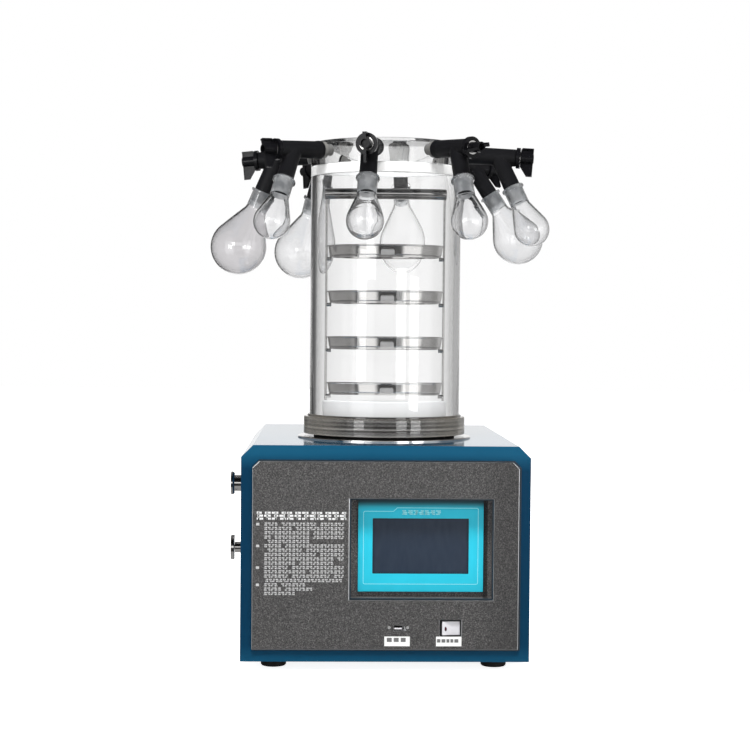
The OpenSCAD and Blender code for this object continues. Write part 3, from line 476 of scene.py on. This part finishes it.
def make_floor():
    """A white sheet with the object's faint shadow. Polished parts look past it into the studio."""
    f = new_finish("white_floor")
    from_middle = f.node("ShaderNodeVectorMath", {"operation": "LENGTH"}, {0: f.own_place()}, "Value")
    lit = f.node("ShaderNodeBsdfDiffuse", {}, {"Color": (0.86, 0.86, 0.86, 1)})
    to_eye = f.ramp(from_middle, [(0.0, 0.86), (0.35, 0.9), (0.75, 1.0)])
    glow = f.node("ShaderNodeEmission", {}, {"Color": to_eye, "Strength": 1.0})
    white = f.node("ShaderNodeAddShader", {}, {0: lit, 1: glow})
    seen = f.ray("Is Camera Ray").larger(f.ray("Is Transmission Ray") * (f.ray("Glossy Depth") < 0.5))
    sheet = f.node("ShaderNodeMixShader", {}, {0: seen, 1: lit, 2: white})
    gone = f.node("ShaderNodeBsdfTransparent")
    f.done(f.node("ShaderNodeMixShader", {}, {0: f.ray("Glossy Depth") > 0.5, 1: sheet, 2: gone}))
    mesh = bpy.data.meshes.new("floor")
    corners = [(x * FLOOR_REACH, y * FLOOR_REACH, 0) for x, y in ((-1, -1), (1, -1), (1, 1), (-1, 1))]
    mesh.from_pydata(corners, [], [(0, 1, 2, 3)])
    mesh.materials.append(f.owner)
    floor = bpy.data.objects.new("floor", mesh)
    bpy.context.scene.collection.objects.link(floor)


def soft_box(name, bearing, elevation, distance, width, height, power, glossy=True, diffuse=True):
    """A lamp with its bearing from straight in front, to the right, seen from the object's middle."""
    aim = Vector((axis_x, axis_y, deck_z + 100 * MM))
    a, e = math.radians(bearing), math.radians(elevation)
    away = Vector((math.sin(a) * math.cos(e), -math.cos(a) * math.cos(e), math.sin(e)))
    data = bpy.data.lights.new(name, "AREA")
    data.shape = "RECTANGLE"
    data.size, data.size_y = width, height
    data.energy = power
    lamp = bpy.data.objects.new(name, data)
    lamp.location = aim + away * distance
    lamp.rotation_mode = "QUATERNION"
    lamp.rotation_quaternion = away.to_track_quat("Z", "Y")
    lamp.visible_camera = False
    lamp.visible_glossy = glossy
    lamp.visible_diffuse = diffuse
    lamp.visible_transmission = False
    bpy.context.scene.collection.objects.link(lamp)


make_world()
make_floor()
for pane, (bearing, elevation) in enumerate(((-37, 2), (-23, 13), (22, 0), (42, -1)), 1):
    soft_box(f"window_pane_{pane}", bearing, elevation, PANE_DISTANCE, PANE_SIDE, PANE_SIDE, PANE_POWER,
             diffuse=False)
# Each lamp's bearing, elevation, distance, width, height and power
soft_box("right_strip", 36, 10, 3.0, 0.5, 1.3, 5, glossy=False)
soft_box("top_box", -8, 58, 2.8, 1.5, 0.5, 98, glossy=False)
soft_box("front_fill", -6, 8, 3.4, 2.0, 1.2, 7, glossy=False)
soft_box("rear_fill", 170, 20, 3.2, 2.0, 1.2, 26, glossy=False)
soft_box("left_fill", -100, 15, 3.2, 1.6, 1.2, 16, glossy=False)
soft_box("far_right_fill", 100, 15, 3.2, 1.6, 1.2, 16, glossy=False)


# ---- Making pieces ----

ON_AXIS = 1e-7
WELD = 0.00002
NEARLY_FLAT = math.radians(0.6)
BIG_FACE = 4e-4


def add_piece(name, mesh, body, stands_for=()):
    piece = bpy.data.objects.new(name, mesh)
    bpy.context.scene.collection.objects.link(piece)
    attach(piece, body)
    if stands_for:
        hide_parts(*stands_for)
    return piece


def mesh_from(name, form, finishes, smooth=True):
    mesh = bpy.data.meshes.new(name)
    form.normal_update()
    form.to_mesh(mesh)
    form.free()
    for finish in finishes:
        mesh.materials.append(finish)
    if smooth:
        mesh.shade_smooth()
    return mesh


def round_edges(piece, width, steps, angle=30):
    """Rounds every edge sharper than angle, and keeps flats flat."""
    bevel = piece.modifiers.new("rounded_edges", "BEVEL")
    bevel.width = width
    bevel.segments = steps
    bevel.limit_method = "ANGLE"
    bevel.angle_limit = math.radians(angle)
    bevel.harden_normals = True
    bevel.use_clamp_overlap = True
    return piece


def body_of_node(node):
    return next(body for body, nodes in record["behaviour"]["bodies"].items() if node in nodes)


def softened(node, finish, width, steps=2, angle=30, edge_finish=None):
    """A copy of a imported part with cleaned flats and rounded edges, which stands for it."""
    packed = frame["nodes"][node].data
    bare = bpy.data.meshes.new("bare")
    bare.from_pydata([v.co for v in packed.vertices], [], [p.vertices[:] for p in packed.polygons])
    form = bmesh.new()
    form.from_mesh(bare)
    bpy.data.meshes.remove(bare)
    bmesh.ops.remove_doubles(form, verts=form.verts, dist=WELD)
    bmesh.ops.dissolve_limit(form, angle_limit=NEARLY_FLAT, verts=form.verts, edges=form.edges)
    big_faces = [face for face in form.faces if face.calc_area() > BIG_FACE]
    bmesh.ops.connect_verts_concave(form, faces=big_faces)
    mesh = mesh_from(node + "_piece", form, [finish] + ([edge_finish] if edge_finish else []))
    piece = add_piece(node + "_piece", mesh, body_of_node(node), [node])
    bevel = round_edges(piece, width, steps, angle).modifiers[0]
    bevel.material = 1 if edge_finish else -1
    return piece


def paint(node, finish):
    """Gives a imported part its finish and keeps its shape."""
    shape = frame["nodes"][node]
    shape.data.materials.clear()
    shape.data.materials.append(finish)


def lathe(name, outline, finishes, steps, place, faces_finish=None):
    """Turns an outline of (radius, height) points round Z. faces_finish gives each stretch's finish."""
    form = bmesh.new()
    rings = []
    for radius, height in outline:
        if radius < ON_AXIS:
            rings.append([form.verts.new((0, 0, height))])
            continue
        rings.append([
            form.verts.new((radius * math.cos(a), radius * math.sin(a), height))
            for a in (2 * math.pi * i / steps for i in range(steps))])
    for index, (ring, following) in enumerate(zip(rings, rings[1:] + rings[:1])):
        if len(ring) == 1 and len(following) == 1:
            continue
        for i in range(steps):
            j = (i + 1) % steps
            corners = [ring[i % len(ring)], ring[j % len(ring)], following[j % len(following)],
                       following[i % len(following)]]
            corners = list(dict.fromkeys(corners))
            face = form.faces.new(corners)
            face.smooth = True
            if faces_finish:
                face.material_index = faces_finish(index)
    bmesh.ops.recalc_face_normals(form, faces=form.faces)
    form.transform(place)
    return mesh_from(name, form, finishes)


def arc(centre, radius, start, end, steps):
    """Points on a round stretch of an outline, angles in degrees."""
    return [
        (centre[0] + radius * math.cos(math.radians(start + (end - start) * i / steps)),
         centre[1] + radius * math.sin(math.radians(start + (end - start) * i / steps)))
        for i in range(steps + 1)]


def block(name, lowest, highest, finish, body, rounding):
    """A box between two corners, with rounded edges."""
    form = bmesh.new()
    bmesh.ops.create_cube(form, size=1)
    form.transform(Matrix.Translation((lowest + highest) / 2) @ Matrix.Diagonal((*(highest - lowest), 1)))
    piece = add_piece(name, mesh_from(name, form, [finish]), body)
    return round_edges(piece, rounding, 3)


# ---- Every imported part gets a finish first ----

NODE_FINISH = {
    "cabinet_shell": BLUE, "base_pan": BLUE_INSIDE, "rear_panel": BLUE, "front_panel": HAMMERED,
    "screen_recess": HAMMERED, "screen_bezel": CYAN, "screen_display": DISPLAY,
    "screen_housing": BLACK_PLASTIC, "usb_socket": BLACK_PLASTIC, "usb_screws": SCREW,
    "switch_housing": BLACK_PLASTIC, "rocker": WHITE_PLASTIC, "label_plates": LABEL,
    "feet": FOOT, "foot_screws": SCREW, "vacuum_port": PORT_STEEL, "drain_valve": PORT_STEEL,
    "drain_knob": PORT_STEEL, "deck_ring": STEEL, "cold_trap": STEEL, "trap_coil": STEEL,
    "trap_foam": FOAM, "compressor": BLACK_PLASTIC, "condenser": ALUMINIUM,
    "fan_frame": BLACK_PLASTIC, "fan_rotor": BLACK_PLASTIC, "cooling_pipes": COPPER,
    "controller_board": BOARD, "power_inlet": BLACK_PLASTIC, "chamber_gasket": FOOT,
    "chamber_flange": SMOKY, "chamber_tube": ACRYLIC, "rack_base": BASE_STEEL,
    "rack_frame": STEEL, "lid_seal": SILICONE, "lid_drum": ACRYLIC, "lid_plate": ACRYLIC,
    "port_stubs": STUB, "valve_bodies": VALVE,
}
for node in frame["nodes"]:
    if node.startswith("tray_"):
        NODE_FINISH[node] = TRAY_STEEL
    elif node.startswith("valve_knob_"):
        NODE_FINISH[node] = KNOB
    elif node.startswith("flask_"):
        NODE_FINISH[node] = FLASK
    paint(node, NODE_FINISH[node])


def rounded_outline(corners, steps=5):
    """Corner points (radius, height, rounding) as an outline with those corners rounded."""
    points = []
    for index, (radius, height, rounding) in enumerate(corners):
        here = Vector((radius, height))
        if not rounding:
            points.append(tuple(here))
            continue
        back = Vector(corners[index - 1][:2]) - here
        onward = Vector(corners[(index + 1) % len(corners)][:2]) - here
        reach = min(rounding / math.tan(back.angle(onward) / 2), 0.48 * back.length, 0.48 * onward.length)
        start, end = here + back.normalized() * reach, here + onward.normalized() * reach
        for step in range(steps + 1):
            t = step / steps
            points.append(tuple(start * (1 - t) ** 2 + here * 2 * t * (1 - t) + end * t * t))
    return points


def turned(name, corners, finishes, body, place, stands_for=(), steps=192):
    """A turned piece from (radius, height, rounding) corners in millimetres."""
    outline = rounded_outline([(r * MM, z * MM, rounding * MM) for r, z, rounding in corners])
    return add_piece(name, lathe(name, outline, finishes, steps, place), body, stands_for)


# ---- Flasks ----

BARREL_PIVOT = 240 * MM
BRANCH_X = 191 * MM
BRANCH_LENGTH = 60 * MM
BRANCH_TILT = 29
NECK_R = 16
NECK_LENGTH = 34
JOINT_LENGTH = 30
JOINT_MOUTH_R = 13.9
GLASS_WALL = 1.8
HOLLOW_SLACK = 0.6
CLEAR_OF_PACKED = 0.1
BULB_STEPS = 40


def valve_frame(k):
    """Valve k's own frame: X runs out along its barrel from the chamber's axis, -Z on the branch's side.

    Its second result is the way down the branch."""
    joint = joints[f"valve_{k}_turn"]
    out = Vector(joint["axis"]).normalized()
    centre = Vector(joint["pos_m"]) - out * BARREL_PIVOT
    bulb_low, bulb_high = hollows[f"flask_{k}_bulb"]
    down = ((bulb_low + bulb_high) / 2 - centre - out * BRANCH_X).normalized()
    up = -(down - out * down.dot(out)).normalized()
    turn = Matrix((out, up.cross(out), up)).transposed().to_4x4()
    return Matrix.Translation(centre) @ turn, down


def flask_frame(k):
    """The flask's own frame: the lip at the origin and +Z up the branch."""
    barrel, down = valve_frame(k)
    lip = barrel @ Vector((BRANCH_X, 0, 0)) + down * BRANCH_LENGTH
    side = (barrel.to_3x3() @ Vector((0, 1, 0))).normalized()
    turn = Matrix((side.cross(-down), side, -down)).transposed().to_4x4()
    return Matrix.Translation(lip) @ turn


def flask_outline(bulb_r, length):
    """One closed section of blown glass: outside from the bottom to the lip, then the inside back down.

    Its second result is the ground stretch of the neck."""
    centre = length - bulb_r

    def shoulder(radius, neck):
        rise = centre - NECK_LENGTH
        return math.degrees(math.atan2(rise, neck) - math.acos(radius / math.hypot(neck, rise)))

    def bulb(radius, neck, steps):
        return [(max(0.0, r), z) for r, z in arc((0, -centre), radius, -90, shoulder(radius, neck), steps)]

    inner_r = bulb_r - GLASS_WALL
    inner_neck = NECK_R - GLASS_WALL
    outside = bulb(bulb_r, NECK_R, BULB_STEPS)
    neck = [
        (NECK_R, -NECK_LENGTH, 14), (NECK_R, -6.2, 2), (19, -3.4, 1.2), (19, 0, 1.2), (JOINT_MOUTH_R, 0, 0.7),
        (12.6, -JOINT_LENGTH, 0.4), (inner_neck, -NECK_LENGTH - 3, 8)]
    inside = bulb(inner_r, inner_neck, BULB_STEPS)[::-1]
    corners = [(*p, 0) for p in outside] + neck + [(*p, 0) for p in inside]
    outline = rounded_outline(corners, 6)
    past_bulb = range(len(outside) + 5, len(outline))
    mouth = next(i for i in past_bulb if outline[i][0] < JOINT_MOUTH_R + 0.1 and outline[i][1] > -1.2)
    joint_foot = next(i for i in past_bulb if i > mouth and outline[i][1] < -JOINT_LENGTH + 0.5)
    return [(r * MM, z * MM) for r, z in outline], range(mouth, joint_foot)


def make_flasks():
    """Each bulb is as large as its stated hollow says, which is the cube that fits inside it."""
    for k in range(1, valve_count + 1):
        bulb_low, bulb_high = hollows[f"flask_{k}_bulb"]
        half_side = (bulb_high - bulb_low).x / 2 / MM
        bulb_r = (half_side + HOLLOW_SLACK) * math.sqrt(3) + GLASS_WALL - CLEAR_OF_PACKED
        length = ((bulb_low + bulb_high) / 2 - flask_frame(k).translation).length / MM + bulb_r
        outline, ground = flask_outline(bulb_r, length)
        # Flask 5 takes the paler copy as painted light, flask 7 the greyer copy as painted shade.
        glass = {5: FLASK_PAINTED_LIGHT, 7: FLASK_PAINTED_SHADE}.get(k, FLASK)
        mesh = lathe(f"flask_{k}_glass", outline, [glass, GROUND], 96, flask_frame(k),
                     lambda index, ground=ground: int(index in ground))
        add_piece(f"flask_{k}_glass", mesh, "root", [f"flask_{k}"])


make_flasks()


# ---- Valves ----

BARREL_START, BARREL_END, BARREL_R, BARREL_LIP_R = 136, 222, 14.5, 15.3
BRANCH_R = 14.3
CONE_BELOW_LIP = 22
ALONG_X = Matrix.Rotation(math.radians(90), 4, "Y")


def valve_skin():
    """One moulded rubber valve, still as a barrel and a branch that cross."""
    form = bmesh.new()
    barrel = rounded_outline([
        (0, BARREL_START, 0), (BARREL_LIP_R, BARREL_START, 3.5), (BARREL_LIP_R, BARREL_START + 7, 3),
        (BARREL_R, BARREL_START + 13, 8), (BARREL_R, BARREL_END, 1.2), (0, BARREL_END, 0)])
    lip = BRANCH_LENGTH / MM
    branch = rounded_outline([
        (0, 0, 0), (BRANCH_R, 0, 0), (BRANCH_R - 0.4, 30, 5), (BRANCH_R, lip - 0.4, 1.5),
        (13.6, lip - 0.4, 0.3), (12.9, lip + CONE_BELOW_LIP, 1.2), (0, lip + CONE_BELOW_LIP, 0)])
    down_branch = Matrix.Rotation(math.radians(180 - BRANCH_TILT), 4, "Y")
    for outline, place in ((barrel, ALONG_X), (branch, Matrix.Translation((BRANCH_X, 0, 0)) @ down_branch)):
        part = lathe("part", [(r * MM, z * MM) for r, z in outline], [], 96, place)
        form.from_mesh(part)
        bpy.data.meshes.remove(part)
    return mesh_from("valve_skin", form, [VALVE])


def melted(mesh, voxel, rounds):
    """Fuses overlapping solids into one skin with soft inner corners."""
    rough = bpy.data.objects.new("rough", mesh)
    bpy.context.scene.collection.objects.link(rough)
    fuse = rough.modifiers.new("fuse", "REMESH")
    fuse.mode = "VOXEL"
    fuse.voxel_size = voxel
    fuse.use_smooth_shade = True
    relax = rough.modifiers.new("relax", "SMOOTH")
    relax.factor = 0.5
    relax.iterations = rounds
    evaluated = rough.evaluated_get(bpy.context.evaluated_depsgraph_get())
    fused = bpy.data.meshes.new_from_object(evaluated)
    bpy.data.objects.remove(rough)
    fused.materials.clear()
    fused.materials.append(VALVE)
    fused.shade_smooth()
    return fused


def make_valves():
    """Eight copies of one skin, each with its knob."""
    skin = melted(valve_skin(), 0.92 * MM, 6)
    for k in range(1, valve_count + 1):
        mesh = skin.copy()
        mesh.transform(valve_frame(k)[0])
        add_piece(f"valve_{k}_body", mesh, "root", ["valve_bodies"])
        softened(f"valve_knob_{k}", KNOB, 0.7 * MM, 3, 35)


make_valves()


# ---- Chamber, rack and trays ----

AXIS = Matrix.Translation((axis_x, axis_y, deck_z))
CHAMBER_R = 128
CHAMBER_INNER_R = 118
FLANGE_R, BEAD_R = 138, 131.5
RING_TOP, GASKET_TOP, FLANGE_TOP, BEAD_TOP = 3, 7, 36.5, 40
TUBE_TOP, DRUM_Z, DRUM_TOP = 442, 459, 498.5
LID_T, LID_R, LID_SEAT_R = 5, 119.9, 119.95
TRAY_R, TRAY_SLOPE = 99, 3.5
TRAY_H = (high("tray_1").z - low("tray_1").z) / MM
BASE_TOP = (high("rack_base").z - deck_z) / MM


def make_chamber():
    """The rings on the deck, the clear wall, and the lid, from radii and heights over the deck."""
    turned("chamber_tube_wall", [
        (CHAMBER_INNER_R, GASKET_TOP, 0.5), (CHAMBER_R, GASKET_TOP, 0.5), (CHAMBER_R, TUBE_TOP, 0.6),
        (CHAMBER_INNER_R, TUBE_TOP, 0.6)], [ACRYLIC], "root", AXIS, ["chamber_tube"], 256)
    turned("chamber_flange_ring", [
        (CHAMBER_R + 0.05, GASKET_TOP, 0.3), (FLANGE_R, GASKET_TOP, 1), (FLANGE_R, FLANGE_TOP, 2),
        (BEAD_R, FLANGE_TOP, 0.4), (BEAD_R, BEAD_TOP, 1), (CHAMBER_R + 0.05, BEAD_TOP, 0.3)],
        [SMOKY], "root", AXIS, ["chamber_flange"], 256)
    turned("chamber_gasket_ring", [
        (104, RING_TOP, 0.5), (120.5, RING_TOP, 1), (120.5, GASKET_TOP, 1), (104, GASKET_TOP, 0.5)],
        [FOOT], "root", AXIS, ["chamber_gasket"])
    turned("deck_ring_plate", [
        (101.5, 0, 0), (148, 0, 0.3), (148, 2, 0.7), (146.5, RING_TOP, 0.8), (101.5, RING_TOP, 0.3)],
        [STEEL], "root", AXIS, ["deck_ring"])
    turned("lid_seal_ring", [
        (CHAMBER_INNER_R, TUBE_TOP + 0.02, 1), (CHAMBER_R, TUBE_TOP + 0.02, 2), (CHAMBER_R, DRUM_Z - 0.02, 2),
        (CHAMBER_INNER_R, DRUM_Z - 0.02, 1)], [SILICONE], "root", AXIS, ["lid_seal"], 256)
    turned("lid_drum_wall", [
        (116, DRUM_Z, 0.6), (CHAMBER_R, DRUM_Z, 0.8), (CHAMBER_R, DRUM_TOP, 1.2), (LID_SEAT_R, DRUM_TOP, 0.4),
        (LID_SEAT_R, DRUM_TOP - LID_T, 0.2), (116, DRUM_TOP - LID_T, 0.2)],
        [LID_WALL], "root", AXIS, ["lid_drum"], 256)
    turned("lid_top_plate", [
        (0, DRUM_TOP - LID_T, 0), (LID_R, DRUM_TOP - LID_T, 0.4), (LID_R, DRUM_TOP, 0.6), (0, DRUM_TOP, 0)],
        [LID_ACRYLIC], "root", AXIS, ["lid_plate"])


def make_rack():
    """The drum that carries the rack, the rack itself and its four trays."""
    # The drum's pale colour is a painted reflection.
    turned("rack_base_drum", [
        (102, 7.5, 0.4), (103.5, 7.5, 0.4), (106.5, BASE_TOP, 3), (30, BASE_TOP, 0.6),
        (30, BASE_TOP - 1.5, 0.6), (104.9, BASE_TOP - 1.5, 2)],
        [DRUM_PAINTED_REFLECTION], "root", AXIS, ["rack_base"])
    softened("rack_frame", BRIGHT_BAR, 0.4 * MM, 2, 40)
    for level in range(1, 5):
        z = (low(f"tray_{level}").z - deck_z) / MM
        floor_r = TRAY_R - TRAY_SLOPE
        place = AXIS @ Matrix.Translation((0, 0, z * MM))
        turned(f"tray_{level}_bowl", [
            (0, 0, 0), (floor_r, 0, 2.5), (TRAY_R - 1.2, TRAY_H - 3, 1), (TRAY_R, TRAY_H - 2, 0.6),
            (TRAY_R, TRAY_H - 0.6, 0.9), (TRAY_R - 1.4, TRAY_H, 0.8), (TRAY_R - 2.4, TRAY_H - 1.6, 0.6),
            (floor_r - 1, 1, 2), (0, 1, 0)],
            [TRAY_STEEL], "root", place, [f"tray_{level}"])
        make_tray_tab(level, floor_r, z)


def make_tray_tab(level, floor_r, z):
    """A small upright tongue with round upper corners on a shelf under the tray's front."""
    width, height, thick, reach, corner_r = 22, 9, 1, 4, 3
    shelf_from, shelf_deep, shelf_thick = 0.5, 5, 1.2
    form = bmesh.new()
    outline = [(-width / 2, 0), (width / 2, 0)]
    outline += arc((width / 2 - corner_r, height - corner_r), corner_r, 0, 90, 6)
    outline += arc((corner_r - width / 2, height - corner_r), corner_r, 90, 180, 6)
    front = [form.verts.new((x * MM, 0, h * MM)) for x, h in outline]
    back = [form.verts.new((x * MM, thick * MM, h * MM)) for x, h in outline]
    form.faces.new(front)
    form.faces.new(back[::-1])
    for i in range(len(outline)):
        j = (i + 1) % len(outline)
        form.faces.new((front[i], back[i], back[j], front[j]))
    shelf = Matrix.Translation((0, (shelf_from + shelf_deep / 2) * MM, shelf_thick / 2 * MM))
    shelf = shelf @ Matrix.Diagonal((width * MM, shelf_deep * MM, shelf_thick * MM, 1))
    bmesh.ops.create_cube(form, size=1, matrix=shelf)
    bmesh.ops.recalc_face_normals(form, faces=form.faces)
    form.transform(AXIS @ Matrix.Translation((0, -(floor_r + reach) * MM, z * MM)))
    piece = add_piece(f"tray_{level}_tab", mesh_from("tab", form, [BASE_STEEL], False), "root")
    round_edges(piece, 0.25 * MM, 2)


make_chamber()
make_rack()


# ---- Cabinet, ports and feet ----

def make_cabinet():
    """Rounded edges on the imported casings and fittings."""
    softened("cabinet_shell", BLUE, 1.1 * MM, 3, 20)
    softened("base_pan", BLUE_INSIDE, 0.4 * MM)
    softened("rear_panel", BLUE, 0.4 * MM)
    softened("screen_recess", HAMMERED_FLOOR_LIT_AND_SHADED, 0.4 * MM)
    softened("screen_bezel", CYAN, 0.5 * MM)
    softened("switch_housing", BLACK_PLASTIC, 0.4 * MM)
    softened("usb_socket", BLACK_PLASTIC, 0.25 * MM)
    softened("usb_screws", SCREW_PAINT, 0.2 * MM)
    softened("label_plates", LABEL, 0.25 * MM)
    softened("rocker", WHITE_PLASTIC, 0.6 * MM, 3)
    softened("feet", FOOT, 0.7 * MM, 2)
    softened("power_inlet", BLACK_PLASTIC, 0.5 * MM)
    softened("front_panel", HAMMERED, 1.6 * MM, 2, edge_finish=PANEL_EDGE)


make_cabinet()


# ---- Print and small fittings, in millimetres from the cabinet's middle and underside ----

CABINET = Matrix.Translation(((cabinet_low.x + cabinet_high.x) / 2, 0, cabinet_low.z))
INK = 0.15


def face_at(node, x, z):
    """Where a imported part's front lies at (x, z)."""
    mesh = frame["nodes"][node].data
    tree = BVHTree.FromPolygons([v.co for v in mesh.vertices], [p.vertices for p in mesh.polygons])
    start = CABINET @ Vector((x * MM, cabinet_low.y - 0.1, z * MM))
    return tree.ray_cast(start, Vector((0, 1, 0)))[0].y


def printed(name, patches, face_y, finish):
    """Flat marks on a face that looks forwards, from (left, bottom, right, top)."""
    form = bmesh.new()
    for left, bottom, right, top in patches:
        centre = Matrix.Translation(((left + right) / 2 * MM, face_y - INK / 2 * MM, (bottom + top) / 2 * MM))
        size = Matrix.Diagonal(((right - left) * MM, INK * MM, (top - bottom) * MM, 1))
        bmesh.ops.create_cube(form, size=1, matrix=CABINET @ centre @ size)
    return add_piece(name, mesh_from(name, form, [finish], False), "root")


def rectangle(left, right, bottom, top, rounding):
    corners = ((left, bottom), (right, bottom), (right, top), (left, top))
    return [(x, z, rounding) for x, z in corners]


def printed_line(name, corners, width, face_y, finish, thick=INK):
    """A closed line of even width round (x, z, rounding) corners, on a face that looks forwards."""
    path = [Vector(point) for point in rounded_outline(corners, 6)]
    form = bmesh.new()
    loops = []
    for side, depth in ((-0.5, 0), (0.5, 0), (0.5, thick), (-0.5, thick)):
        loop = []
        for i, point in enumerate(path):
            before = (point - path[i - 1]).normalized()
            after = (path[(i + 1) % len(path)] - point).normalized()
            across = Vector((-before.y - after.y, before.x + after.x)).normalized()
            reach = side * width / max(0.5, across.dot(Vector((-before.y, before.x))))
            spot = point + across * reach
            loop.append(form.verts.new(CABINET @ Vector((spot.x * MM, face_y - depth * MM, spot.y * MM))))
        loops.append(loop)
    for loop, following in zip(loops, loops[1:] + loops[:1]):
        for i in range(len(path)):
            j = (i + 1) % len(path)
            form.faces.new((loop[i], loop[j], following[j], following[i]))
    bmesh.ops.recalc_face_normals(form, faces=form.faces)
    return add_piece(name, mesh_from(name, form, [finish], False), "root")


def blind_row(left, right, middle_z, pitch, width, height, bars, skipped=()):
    """One row of blind characters: each is a small stack of bars, and no two neighbours are alike."""
    patches = []
    step = height / (2 * bars - 1)
    for i in range(round((right - left) / pitch)):
        if i in skipped:
            continue
        start = left + i * pitch
        for bar in range(bars):
            bottom = middle_z - height / 2 + 2 * bar * step
            cut = ((i * 7 + bar * 5) % 4) * 0.11 * width
            cut_left, cut_right = (cut, 0) if (i + bar) % 2 else (0, cut)
            patches.append((start + cut_left, bottom, start + width - cut_right, bottom + step * 1.35))
        stem = start + width * (0.2 + 0.15 * ((i * 5) % 4))
        patches.append((stem, middle_z - height / 2, stem + width * 0.22, middle_z + height / 2))
    return patches


TITLE_LEFT, TITLE_Z, TITLE_PITCH, TITLE_LENGTH = -204.5, 232.3, 11.93, 12
NOTES_LEFT, NOTES_RIGHT, NOTES_TOP, NOTES_ROWS = -192.4, -65.3, 219.1, 17
ROW_PITCH, LETTER_PITCH = 6.87, 5.53
SHORT_ROWS = {4: -119, 9: -81, 14: -125, 15: -114, 16: -141}
ROW_STARTS = {13: -190.1}
MARKED_ROWS = (0, 5, 10, 14)
MARK_LEFT, MARK_RIGHT, MARK_HALF = -205.2, -200.2, 2


def make_panel_print():
    """Blind rows stand where the operating notes are printed."""
    face_y = panel_low.y
    title_right = TITLE_LEFT + TITLE_LENGTH * TITLE_PITCH
    title = blind_row(TITLE_LEFT, title_right, TITLE_Z, TITLE_PITCH, 10.2, 11.8, 3)
    printed("panel_title_print", title, face_y, WHITE_PRINT)
    rows, marks = [], []
    for row in range(NOTES_ROWS):
        z = NOTES_TOP - ROW_PITCH * row
        start = ROW_STARTS.get(row, NOTES_LEFT)
        end = SHORT_ROWS.get(row, NOTES_RIGHT)
        gaps = [(row * 5 + 3) % 23] if row % 3 else [(row * 7 + 4) % 23, (row * 7 + 15) % 23]
        rows += blind_row(start, end, z, LETTER_PITCH, 4.3, 4.5, 2, gaps)
        if row in MARKED_ROWS:
            marks.append((MARK_LEFT, z - MARK_HALF, MARK_RIGHT, z + MARK_HALF))
    printed("panel_notes_print", rows, face_y, NOTE_PRINT)
    printed("panel_notes_marks", marks, face_y, NOTE_PRINT)


def make_panel_gap_shade():
    """A dark strip lies in the gap round the panel, as painted shade."""
    left, right, bottom, top = -210.6, 213.5, 19.5, 319.5
    cut = 10
    # Painted shade in the gap round the panel.
    printed_line("panel_gap_painted_shade", [
        (left, bottom, 1), (right, bottom, 1), (right, top - cut, 1), (right - cut, top, 1),
        (left + cut, top, 1), (left, top - cut, 1)], 3.2, cabinet_low.y, GASKET_AND_GAP_SHADE, 0.5)


def make_screen_print():
    """A dark seam round the opening as painted shade, the film's thin line and title, and the display's
    gasket.
    """
    # Painted shade: a dark seam in the gap at the opening's lip.
    seam = rectangle(-56.05, 170.05, 100.95, 259.05, 0.5)
    printed_line("opening_painted_shade_seam", seam, 1.8, panel_low.y + 2.5 * MM, GASKET_AND_GAP_SHADE, 1)
    face_y = low("screen_bezel").y
    left, right, bottom, top, step_down = -34.9, 148.8, 120.9, 243.2, 237.5
    printed_line("screen_thin_line", [
        (left, bottom, 3), (right, bottom, 3), (right, top, 3), (19, top, 1), (13, step_down, 1),
        (left, step_down, 3)], 0.8, face_y, CYAN_LINE)
    title_left, title_pitch, title_length = 27, 9.0, 7
    title = blind_row(title_left, title_left + title_length * title_pitch, 235.6, title_pitch, 7.6, 6.6, 3)
    printed("screen_title_print", title, face_y, CYAN_LINE)
    gasket = rectangle(-19.5, 133, 138.5, 225.5, 0.5)
    printed_line("screen_edge_gasket", gasket, 1.7, face_y, GASKET_AND_GAP_SHADE, 0.1)


def make_label_print():
    """Blind bars on the two label plates."""
    face_y = face_at("label_plates", 18, 30)
    marks = [(left, 33.0, left + 7.9, 39.6) for left in (2.7, 13.7, 24.8)]
    printed("usb_label_print", marks, face_y, GREY_PRINT)
    spans = ((82.5, 88.0), (89.6, 95.9), (97.5, 102.2), (103.8, 108.5), (110.1, 116.4))
    marks = [(left, 32.2, right, 37.6) for left, right in spans]
    printed("switch_label_print", marks, face_y, GREY_PRINT)


def make_usb_trim():
    """The socket's steel rim, and the white tongue inside it."""
    face_y = low("usb_socket").y
    printed_line("usb_socket_rim", rectangle(13.1, 28.1, 51.8, 59.7, 0.8), 0.8, face_y, SCREW, 0.25)
    lowest = CABINET @ Vector((14.6 * MM, face_y - 0.3 * MM, 53.2 * MM))
    highest = CABINET @ Vector((26.6 * MM, face_y + 2 * MM, 55.4 * MM))
    block("usb_socket_tongue", lowest, highest, WHITE_PLASTIC, "root", 0.15 * MM)


def make_rocker_lamp():
    """A small oval lens, which tilts with the rocker."""
    x, z = 95.8, 53.7
    place = CABINET @ Matrix.Translation((x * MM, face_at("rocker", x, z), z * MM))
    place = place @ Matrix.Rotation(math.radians(90), 4, "X") @ Matrix.Diagonal((0.62, 1.0, 1.0, 1.0))
    turned("rocker_lamp_lens", [(0, -1, 0), (3.6, -1, 0), (3.6, 0.25, 0.3), (0, 0.8, 0)],
           [LAMP], body_of_node("rocker"), place, steps=40)


def make_knob_washers():
    """A thin steel washer behind the head of each valve's knob."""
    inner, outer, near, far = 8.6, 11.2, 228.65, 229.5
    corners = [(inner, near, 0.1), (outer, near, 0.2), (outer, far, 0.2), (inner, far, 0.1)]
    for k in range(1, valve_count + 1):
        turned(f"valve_knob_{k}_washer", corners, [STEEL], f"valve_knob_{k}",
               valve_frame(k)[0] @ ALONG_X, steps=48)


make_panel_print()
make_panel_gap_shade()
make_screen_print()
make_label_print()
make_usb_trim()
make_rocker_lamp()
make_knob_washers()
